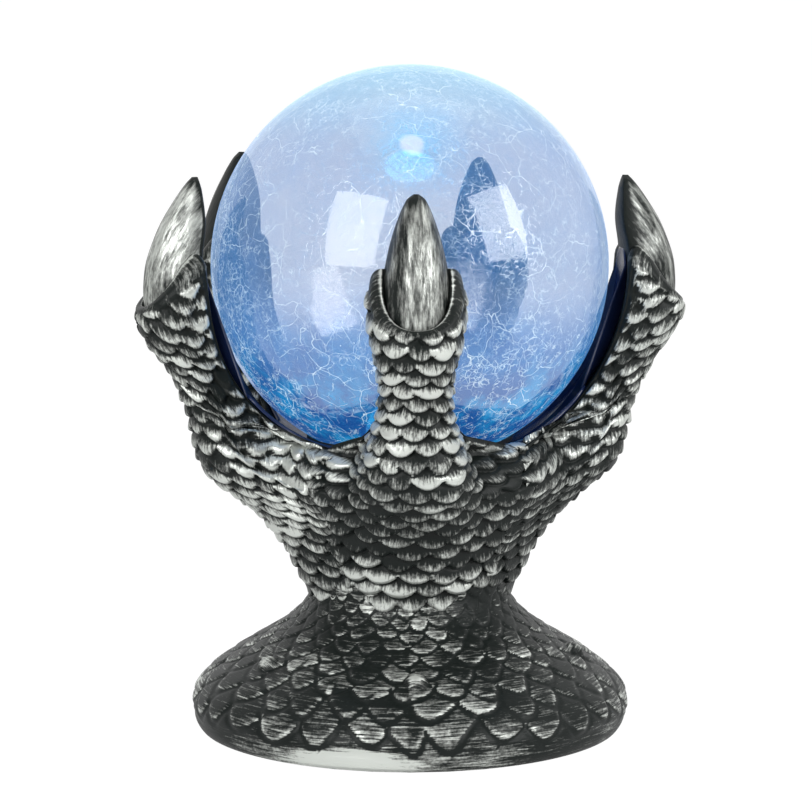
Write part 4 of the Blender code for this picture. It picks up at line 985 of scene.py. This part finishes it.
def scaled_finger(name, settings, rows=250, columns=151, inner=20):
    """A finger with its scales, closed behind by the pocket and the claw's inner wall, and rolled in at its collar.

    Scale columns follow distance round the skin and rows distance along it. Their size grows from finger to palm.
    The relief fades out along the liner, deepens into a bead at the collar and sinks where the skins cross
    in the valleys and at the waist.
    """
    azimuth = math.radians(FINGERS[name])
    spans = valley_spans()[name]
    seed = float(list(FINGERS).index(name)) * 5 + 1
    slant = FRONT_SLANT if name == "front" else ROW_SLANT
    points, turn, edges = finger_skin(azimuth, spans, slant, rows, columns)
    height = points[..., 2]
    across = arc_lengths(points, 1)
    across = across - across[:, columns // 2, None]
    along = arc_lengths(points, 0)
    lattice_u, lattice_v, grown = finger_lattice(name, across, along, height, settings, seed)
    relief, tone, _, gap = scale_relief(lattice_u, lattice_v, seed, **FINGER_SCALE)
    groove = ease(*FINGER_GROOVE_AT, gap)
    relief = relief - FINGER_GROOVE * groove
    edge = np.minimum(across - across[:, :1], across[:, -1:] - across)
    free = [ease(*(spans[i] - margin for margin in FREE_EDGE), edges[:, i, None]) for i in (0, 1)]
    smooth = 1 - np.where(turn < 0, *free) * ease(*PLAIN_STRIP, edge)
    bead = ease(*BEAD_STRIP, along[-1:] - along)
    past = np.where(turn < 0, -turn - spans[0], turn - spans[1])
    sunk = VALLEY_SINK * ease(-VALLEY_OVERLAP, VALLEY_OVERLAP, past) + WAIST_SINK * ease(*WAIST_SINK_Z, height)
    size = settings.scale_height * (1 + PALM_GROWTH * grown)
    bulge = size * (relief * smooth * (1 - bead) + BEAD_HEIGHT * bead)
    skin = points + outward(points) * (bulge - sunk)[..., None]
    # Silver follows the relief; the black in the grooves is partly unpainted plastic and partly painted shade under
    # each free edge
    lift = finger_lift(name, points, (np.clip(relief, 0, MOST_LIFT) - GROOVE_DARKENING * groove) * smooth, bead)

    share = np.linspace(0, 1, inner + 2)[1:-1]
    back_turn = edges[:, 1:] + (-edges[:, :1] - edges[:, 1:]) * share
    back_height = height[:, -1:] + (height[:, :1] - height[:, -1:]) * share
    wall = np.where(back_height > WEB_Z, pocket_radius(back_height), column_radius(back_height) - SHELL_WALL)
    loop = np.concatenate((skin, polar(wall, azimuth + back_turn, back_height)), axis=1)
    loop = np.concatenate((loop, collar_roll(loop[-1], azimuth)))
    extra = len(loop) - rows
    fold = np.concatenate((np.linspace(*FOLD_SLOPE, extra - len(FOLD_CREST)), FOLD_CREST))
    lift = np.pad(lift, ((0, 0), (0, inner)))
    lift = np.concatenate((lift, fold[:, None] * np.ones(columns + inner)))
    tone = np.pad(tone * smooth, ((0, 0), (0, inner)), constant_values=0.5)
    tone = np.pad(tone, ((0, extra), (0, 0)), mode="edge")
    uv = np.stack([np.pad(run, ((0, 0), (0, inner + 1)), mode="edge") for run in (across, along)], axis=-1)
    uv = np.concatenate((uv, uv[-1:] + np.arange(1, extra + 1)[:, None, None] * (0, FOLD_STEP)))
    return grid_mesh(f"{name}_finger", loop, caps=True, values={"lift": lift, "tone": tone}, uv=uv)


def collar_roll(ring, azimuth, steps=12):
    """The skin fold round a nail: the ring climbs and draws in over a quarter turn, then dives beside the nail.

    The fold climbs little at the finger's back and most at its sides. Returns the new rings.
    """
    radial = ring @ np.array((math.sin(azimuth), -math.cos(azimuth), 0))
    share = np.clip((radial.max() - radial) / (radial.max() - radial.min()), 0, 1)[:, None]
    climb = FOLD_CLIMB + FOLD_SIDES * share**FOLD_POWER
    flat = (ring - ring.mean(axis=0)) * (1, 1, 0)
    angle = np.linspace(0, FOLD_ANGLE, steps)[1:, None, None]
    up = np.array((0, 0, 1))
    rolled = ring - flat * FOLD_SHRINK * (1 - np.cos(angle)) + up * climb * np.sin(angle)
    floor = rolled[-1:] - flat * FOLD_TUCK - up * FOLD_SINK
    return np.concatenate((rolled, floor), axis=0)


def nail(name, rows=110, columns=96):
    """A claw's nail: level slices, each a superellipse towards the outside and almost flat towards the globe.

    Shallow ridges run along it. The lift follows the middle of its back, where the brush takes.
    """
    azimuth = math.radians(FINGERS[name])
    seed = float(list(FINGERS).index(name))
    low, high = NAIL_REACH[0][0], NAIL_REACH[-1][0]
    share = np.sin(np.linspace(0, np.pi / 2, rows))[:, None]
    height = (low + (high - low) * share) * MM
    raised = height + NAIL_RISE.get(name, 0) * share
    back = curve_mm(NAIL_BACK, height)
    reach = curve_mm(NAIL_REACH, height) - back
    half = curve_mm(NAIL_HALF, height)
    angle = np.linspace(-np.pi, np.pi, columns, endpoint=False)[None, :]
    outwards, sideways = (
        np.sign(part) * np.abs(part) ** (2 / NAIL_SQUARENESS) for part in (np.cos(angle), np.sin(angle))
    )
    ridge = wander(sideways * RIDGES, height / RIDGE_LENGTH, seed) * (reach > RIDGED_DEPTH)
    hollow = NAIL_HOLLOW * np.minimum(1, reach / NAIL_THIN)
    x = back + np.where(outwards > 0, reach, hollow) * outwards + RIDGE_HEIGHT * ridge * (outwards > 0.15)
    y = half * sideways
    sine, cosine = math.sin(azimuth), math.cos(azimuth)
    place = np.stack(np.broadcast_arrays(x * sine + y * cosine, -x * cosine + y * sine, raised), axis=-1)
    lift = np.where(outwards > 0.02, NAIL_LIFT, NAIL_INSIDE) + RIDGE_LIFT * ridge
    # Less silver at the tip and towards the sides; the darker sides are partly less paint and partly painted shade
    # where they turn away
    lift = lift - BARE_TIP * ease(*BARE_TIP_Z, height) - SIDE_SHADE * ease(*SIDE_SHADE_AT, outwards)
    # Painted shade, with less paint too: each flank darkens by its own share, most where it turns from the light or,
    # on a rear nail, faces the front
    for flank_shade, way in zip(NAIL_FLANK_SHADE[name], (-1, 1)):
        lift = lift - flank_shade * ease(*FLANK, way * sideways)
    lift = lift - BARE_MIDDLE * hump(sideways, 0, BARE_MIDDLE_HALF)
    tone = 0.5 + 0.5 * wander(sideways * 5, height / (14 * MM), seed + 3)
    u = np.linspace(-1, 1, columns + 1)[None, :] * half * NAIL_WRAP
    uv = np.stack(np.broadcast_arrays(u, height), axis=-1)
    return grid_mesh(f"{name}_nail", place, caps=True, values={"lift": lift, "tone": tone}, uv=uv)


def foot_profile(rows, samples=900):
    """The foot's outer line from its rim up into the waist, as evenly spaced (radius, height)."""
    height = np.linspace(FOOT_BOTTOM, FOOT_TOP, samples)
    tuck = RIM_TUCK * np.clip(1 - (height - FOOT_BOTTOM) / (RIM_HEIGHT * TUCK_SHARE), 0, 1) ** 2
    line = np.stack((column_radius(height) - tuck, height), axis=-1)
    run = arc_lengths(line, 0)
    even = np.linspace(0, run[-1], rows)
    return np.interp(even, run, line[:, 0]), np.interp(even, run, line[:, 1])


def scaled_foot(settings, rows=150, columns=540, inner=14):
    """The flared foot with its rows of broad scales, the plain rim below them and a spur under each finger.

    The scales' height and width shrink together with the skirt's radius, so one count fits every row. The inside
    is a plain wall that runs back down to the rim.
    """
    azimuth = np.linspace(-np.pi, np.pi, columns, endpoint=False)[None, :]
    radius, height = foot_profile(rows)
    points = polar(radius[:, None], azimuth, height[:, None])
    run = arc_lengths(points[:, :1], 0)
    count = settings.foot_scales
    width = 2 * np.pi * radius / count
    rise = np.cumsum(np.gradient(run[:, 0]) / (width * FOOT_PITCH))[:, None]
    rise = rise - np.interp(RIM_HEIGHT, height, rise[:, 0])
    wave = azimuth * np.round(count / 6)
    lattice_u = azimuth / (2 * np.pi) * count + FOOT_DRIFT * np.sin(wave + rise * 1.7)
    lattice_v = rise + FOOT_DRIFT * np.sin(wave * 2 + 1 + rise)
    wrapped = np.where(azimuth >= 0, lattice_u, lattice_u + count)
    relief, tone, behind, gap = scale_relief(wrapped, lattice_v, 3.0, **FOOT_SCALE)
    groove = ease(*FOOT_GROOVE_AT, gap)
    band = ease(*RIM_BAND, lattice_v)
    shrink = FOOT_LEAST + (1 - FOOT_LEAST) * width[:, None] / width.max()
    bulge = settings.foot_height * shrink * (relief - FOOT_GROOVE * groove) * band
    bulge = bulge - FOOT_SINK * ease(*FOOT_SINK_Z, height)[:, None]
    spur = np.zeros_like(bulge)
    for degrees in SPURS:
        flat = np.hypot(turn_from(degrees, azimuth) * radius[:, None], run - np.interp(SPUR_Z, height, run[:, 0]))
        spur = np.maximum(spur, np.sqrt(np.clip(1 - (flat / SPUR_RADIUS) ** 2, 0, 1)))
    bulge = np.maximum(blurred(bulge), SPUR_HEIGHT * spur)
    skin = points + outward(points) * bulge[..., None]
    # Painted highlight: more silver round the front of the foot and of its rim, where the light falls most
    front = hump(np.degrees(azimuth), LIT_FRONT_AT, LIT_FRONT_HALF)
    # Black in the grooves: partly unpainted plastic, partly painted shade
    lift = FOOT_LIFT - FOOT_FADE * behind + EDGE_LIFT * hump(behind, EDGE_AT, EDGE_HALF)
    lift = (lift - GROOVE_LIFT * groove + LIT_FRONT_LIFT * front) * band + (RIM_LIFT + LIT_RIM_FRONT * front) * (1 - band)
    lift = np.maximum((1 - SOFTENED) * lift + SOFTENED * blurred(lift), SPUR_LIFT * spur)
    tone = tone * band + RIM_TONE * (1 - band)
    inner_z = np.linspace(FOOT_TOP, FOOT_BOTTOM, inner)
    inner_r = np.minimum(PLATE_SEAT, column_radius(inner_z + 5 * MM) - FOOT_WALL)
    loop = np.concatenate((skin, polar(inner_r[:, None], azimuth, inner_z[:, None])), axis=0)
    values = {key: np.pad(value, ((0, inner), (0, 0))) for key, value in (("lift", lift), ("tone", tone))}
    u = np.linspace(-np.pi, np.pi, columns + 1)[None, :] * FOOT_RADIUS
    v = np.pad(run[:, 0], (0, inner), mode="edge")[:, None]
    uv = np.stack(np.broadcast_arrays(u, v), axis=-1)
    return grid_mesh("foot", loop, wrap_rows=True, values=values, uv=uv)


def liner_columns(per_half=36):
    """Angles round the liner, crowded where the tongues' sides stand, with each one's angle from its finger."""
    azimuth, turn = [], []
    share = np.linspace(0, 1, per_half, endpoint=False)
    for name, spans in valley_spans().items():
        left, right = (
            np.interp(share, (0, 0.25, 0.7, 1), (0, *np.radians(TONGUE_SIDES), valley)) for valley in spans
        )
        own = np.concatenate((-left[1:][::-1], right))
        azimuth.append(math.radians(FINGERS[name]) + own)
        turn.append(np.abs(own))
    return np.concatenate(azimuth), np.concatenate(turn)


def liner_mesh(steps=44):
    """The smooth cup: a bowl with a tongue up the back of each finger, on a skirt and a flat deck.

    One closed outline is carried round the axis: up the cup's inside to the edge, over it, down the outside, and
    round the skirt and the deck. Only the height of the edge changes with the angle.
    """
    azimuth, turn = liner_columns()
    top = flowing(TONGUE_EDGE, np.degrees(turn))[None, :] * MM
    skirt_outer = SKIRT_RADIUS + LINER_WALL
    deck_low = LINER_LOW.z
    deck_top = deck_low + DECK_THICKNESS

    def bowl(ball, start_radius, count, spread=0.0):
        """Points up a ball from a radius to the edge: straight up above the ball's middle, and spread outwards."""
        share = np.linspace(0, 1, count)[:, None]
        start = GLOBE_Z - math.sqrt(ball**2 - start_radius**2)
        height = start + (top - LIP_HEIGHT - start) * share
        radius = np.sqrt(np.maximum(ball**2 - np.minimum(height - GLOBE_Z, 0) ** 2, 0))
        return np.stack((radius + spread * ease(*SPREAD_Z, height), height), axis=-1)

    def ring(*points):
        """Plain points of the outline, the same all the way round."""
        return np.array(points)[:, None, :] * np.ones((1, len(azimuth), 1))

    inside = bowl(CUP_RADIUS, SOCKET_RADIUS, steps, POCKET_SPREAD + LINER_THINNING)
    outside = bowl(LINER_OUTER, skirt_outer, steps, POCKET_SPREAD)
    crest = (inside[-1:] + outside[-1:]) / 2
    lip = crest + np.array((0, LIP_HEIGHT))
    near = LIP_SHARE * (inside[-1:] - crest) + lip
    far = LIP_SHARE * (outside[-1:] - crest) + lip
    under = bowl(LINER_OUTER, SOCKET_RADIUS, 2)[:1]
    skirt_top = GLOBE_Z - math.sqrt(LINER_OUTER**2 - SKIRT_RADIUS**2)
    lower = ring((SKIRT_RADIUS, skirt_top), (SKIRT_RADIUS, deck_top), (DECK_BORE, deck_top), (DECK_BORE, deck_low))
    outline = np.concatenate(
        (ring((skirt_outer, deck_low)), outside, far, lip, near, inside[::-1], under, lower), axis=0
    )
    points = polar(outline[..., 0], azimuth[None, :], outline[..., 1])
    return grid_mesh("liner", points, wrap_rows=True)


def globe_mesh(settings, columns=220, rows=120, crown_gap=0.0006):
    """The hollow globe: a ball with a short open neck, out over the crown, round the mouth and back inside.

    The inside's faces, and the small one over its crown, take the second material.
    """
    bore = NECK_RADIUS - settings.wall

    def half(ball, radius, count):
        """The ball's line from its neck to its crown."""
        angle = np.linspace(math.asin(radius / ball), np.pi - crown_gap, count)
        return np.stack((ball * np.sin(angle), GLOBE_Z - ball * np.cos(angle)), axis=-1)

    outer = half(GLOBE_RADIUS, NECK_RADIUS, rows)
    inner = half(GLOBE_RADIUS - settings.wall, bore, rows // 2)
    lip = GLOBE_LOW.z + MOUTH_ROUNDING
    mouth = np.array(((bore, lip), ((bore + NECK_RADIUS) / 2, GLOBE_LOW.z), (NECK_RADIUS, lip)))
    line = np.concatenate((inner[::-1], mouth, outer))
    azimuth = np.linspace(0, 2 * np.pi, columns, endpoint=False)[None, :]
    mesh = grid_mesh("globe", polar(line[:, :1], azimuth, line[:, 1:]), caps=True)
    index = np.zeros(len(mesh.polygons), np.int32)
    index[: len(inner) * columns] = 1
    index[-2] = 1
    mesh.polygons.foreach_set("material_index", index)
    return mesh


class CRYSTALBALL_OT_claw(Operator):
    """Builds the scaled fingers, the palm and the foot"""

    bl_idname = "crystal_ball.claw"
    bl_label = "Claw"

    def execute(self, context):
        settings, colours = context.scene.claw_settings, context.scene.finish_settings
        finger_paint = brushed_paint("brushed_silver", colours, **FINGER_PAINT)
        foot_paint = brushed_paint("brushed_silver_foot", colours, **FOOT_PAINT)
        for name in FINGERS:
            piece(f"{name}_finger", scaled_finger(name, settings), [finger_paint], "stand", "claw_paint", *SHELLS)
        piece("foot", scaled_foot(settings), [foot_paint], "stand", "claw_paint", *SHELLS)
        return {"FINISHED"}


class CRYSTALBALL_OT_nails(Operator):
    """Builds the five nails"""

    bl_idname = "crystal_ball.nails"
    bl_label = "Nails"

    def execute(self, context):
        paint = brushed_paint("brushed_silver_nail", context.scene.finish_settings, **NAIL_PAINT)
        for name in FINGERS:
            piece(f"{name}_nail", nail(name), [paint], "stand", "claw_paint", *SHELLS)
        return {"FINISHED"}


class CRYSTALBALL_OT_liner(Operator):
    """Builds the smooth cup liner with its tongues"""

    bl_idname = "crystal_ball.liner"
    bl_label = "Cup liner"

    def execute(self, context):
        colour = context.scene.finish_settings.liner
        finish = plain_finish("liner_gloss", colour, 0.22, grain_size=2.5 * MM, mottle=0.7)
        piece("cup_liner_skin", liner_mesh(), [finish], "stand", "liner_plastic", "cup_liner")
        return {"FINISHED"}


class CRYSTALBALL_OT_globe(Operator):
    """Builds the crackle-glass globe"""

    bl_idname = "crystal_ball.globe"
    bl_label = "Globe"

    def execute(self, context):
        settings = context.scene.globe_settings
        glass = [crackle_glass("crackle_glass", settings), inner_glass("crackle_glass_inside")]
        piece("globe_skin", globe_mesh(settings), glass, "globe", "crackle_glass", "crackle_globe")
        return {"FINISHED"}


class CRYSTALBALL_OT_inner_parts(Operator):
    """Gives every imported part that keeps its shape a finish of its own"""

    bl_idname = "crystal_ball.inner_parts"
    bl_label = "Inner parts"

    def execute(self, context):
        globe = context.scene.globe_settings
        finishes = {
            "lens": lit_plastic("lamp_lens_lit", globe.lamp, globe.lamp_strength),
            "led": lit_plastic("led_lit", (0.5, 0.8, 1.0), 3.0),
            "white": plain_finish("white_moulding", (0.78, 0.79, 0.79), 0.45),
            "black": plain_finish("black_moulding", (0.014, 0.014, 0.016), 0.42, bump=0.25),
            "rubber": plain_finish("seat_rubber", (0.02, 0.02, 0.021), 0.75, bump=0.3),
            "board": plain_finish("circuit_board_green", (0.02, 0.14, 0.06), 0.4, grain_size=0.9 * MM, mottle=0.25),
            "steel": plain_finish("plated_steel", (0.58, 0.58, 0.57), 0.28, 1.0, 0.4 * MM),
            "wrap": plain_finish("cell_wrap", (0.03, 0.10, 0.30), 0.3, grain_size=2 * MM, mottle=0.2),
            "red": plain_finish("red_lead", (0.45, 0.02, 0.02), 0.45),
            "lead": plain_finish("black_lead", (0.015, 0.015, 0.015), 0.45),
        }
        for node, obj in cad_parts.items():
            kind = next((kind for part, kind in PART_FINISHES if part in node), None)
            if kind is None:
                if obj.hide_render:
                    continue
                raise RuntimeError(f"no finish for {node}")
            obj.data.materials.clear()
            obj.data.materials.append(finishes[kind])
        return {"FINISHED"}


class CRYSTALBALL_OT_stage(Operator):
    """Sets the floor, the studio light and the camera"""

    bl_idname = "crystal_ball.stage"
    bl_label = "Stage"

    def execute(self, context):
        scene = context.scene
        settings = scene.stage_settings
        side = np.linspace(-FLOOR_HALF, FLOOR_HALF, 9)
        grid = np.stack(np.broadcast_arrays(side[None, :], side[:, None], FLOOR_Z), axis=-1)
        floor = bpy.data.objects.new("floor", grid_mesh("floor", grid, wrap_columns=False))
        scene.collection.objects.link(floor)
        floor.data.materials.append(floor_finish())
        studio_world(scene, settings)
        for name, (place, size) in SOFTBOXES.items():
            softbox(f"{name}_softbox", place, size, getattr(settings, f"{name}_power"))
        camera = bpy.data.objects.new("camera", bpy.data.cameras.new("camera"))
        camera.data.lens = CAMERA_LENS
        camera.data.sensor_width = CAMERA_SENSOR
        camera.location = CAMERA_PLACE
        camera.rotation_euler = (math.pi / 2 - CAMERA_PITCH, 0, 0)
        scene.collection.objects.link(camera)
        scene.camera = camera
        scene.view_settings.view_transform = "Standard"
        return {"FINISHED"}


class CRYSTALBALL_PT_panel(Panel):
    """Lists the settings and the steps that dress the crystal ball"""

    bl_idname = "CRYSTALBALL_PT_panel"
    bl_label = "Crystal ball"
    bl_space_type = "VIEW_3D"
    bl_region_type = "UI"
    bl_category = "Crystal ball"

    def draw(self, context):
        for group in SETTINGS:
            settings = getattr(context.scene, group)
            for key in settings.__annotations__:
                self.layout.prop(settings, key)
        for operator in OPERATORS:
            self.layout.operator(operator.bl_idname)


SETTINGS = {
    "claw_settings": ClawSettings,
    "globe_settings": GlobeSettings,
    "finish_settings": FinishSettings,
    "stage_settings": StageSettings,
}
OPERATORS = (
    CRYSTALBALL_OT_claw,
    CRYSTALBALL_OT_nails,
    CRYSTALBALL_OT_liner,
    CRYSTALBALL_OT_globe,
    CRYSTALBALL_OT_inner_parts,
    CRYSTALBALL_OT_stage,
)
CLASSES = (*SETTINGS.values(), *OPERATORS, CRYSTALBALL_PT_panel)


def register():
    """Makes the settings, operators and panel known, and puts the settings on the scene."""
    for item in CLASSES:
        bpy.utils.register_class(item)
    for name, group in SETTINGS.items():
        setattr(bpy.types.Scene, name, PointerProperty(type=group))


def unregister():
    """Takes the settings off the scene, and the classes back in reverse order."""
    for name in SETTINGS:
        delattr(bpy.types.Scene, name)
    for item in reversed(CLASSES):
        bpy.utils.unregister_class(item)


def main():
    """Builds every piece and the stage."""
    register()
    bpy.ops.crystal_ball.claw()
    bpy.ops.crystal_ball.nails()
    bpy.ops.crystal_ball.liner()
    bpy.ops.crystal_ball.globe()
    bpy.ops.crystal_ball.inner_parts()
    bpy.ops.crystal_ball.stage()
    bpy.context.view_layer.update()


if __name__ == "__main__":
    main()
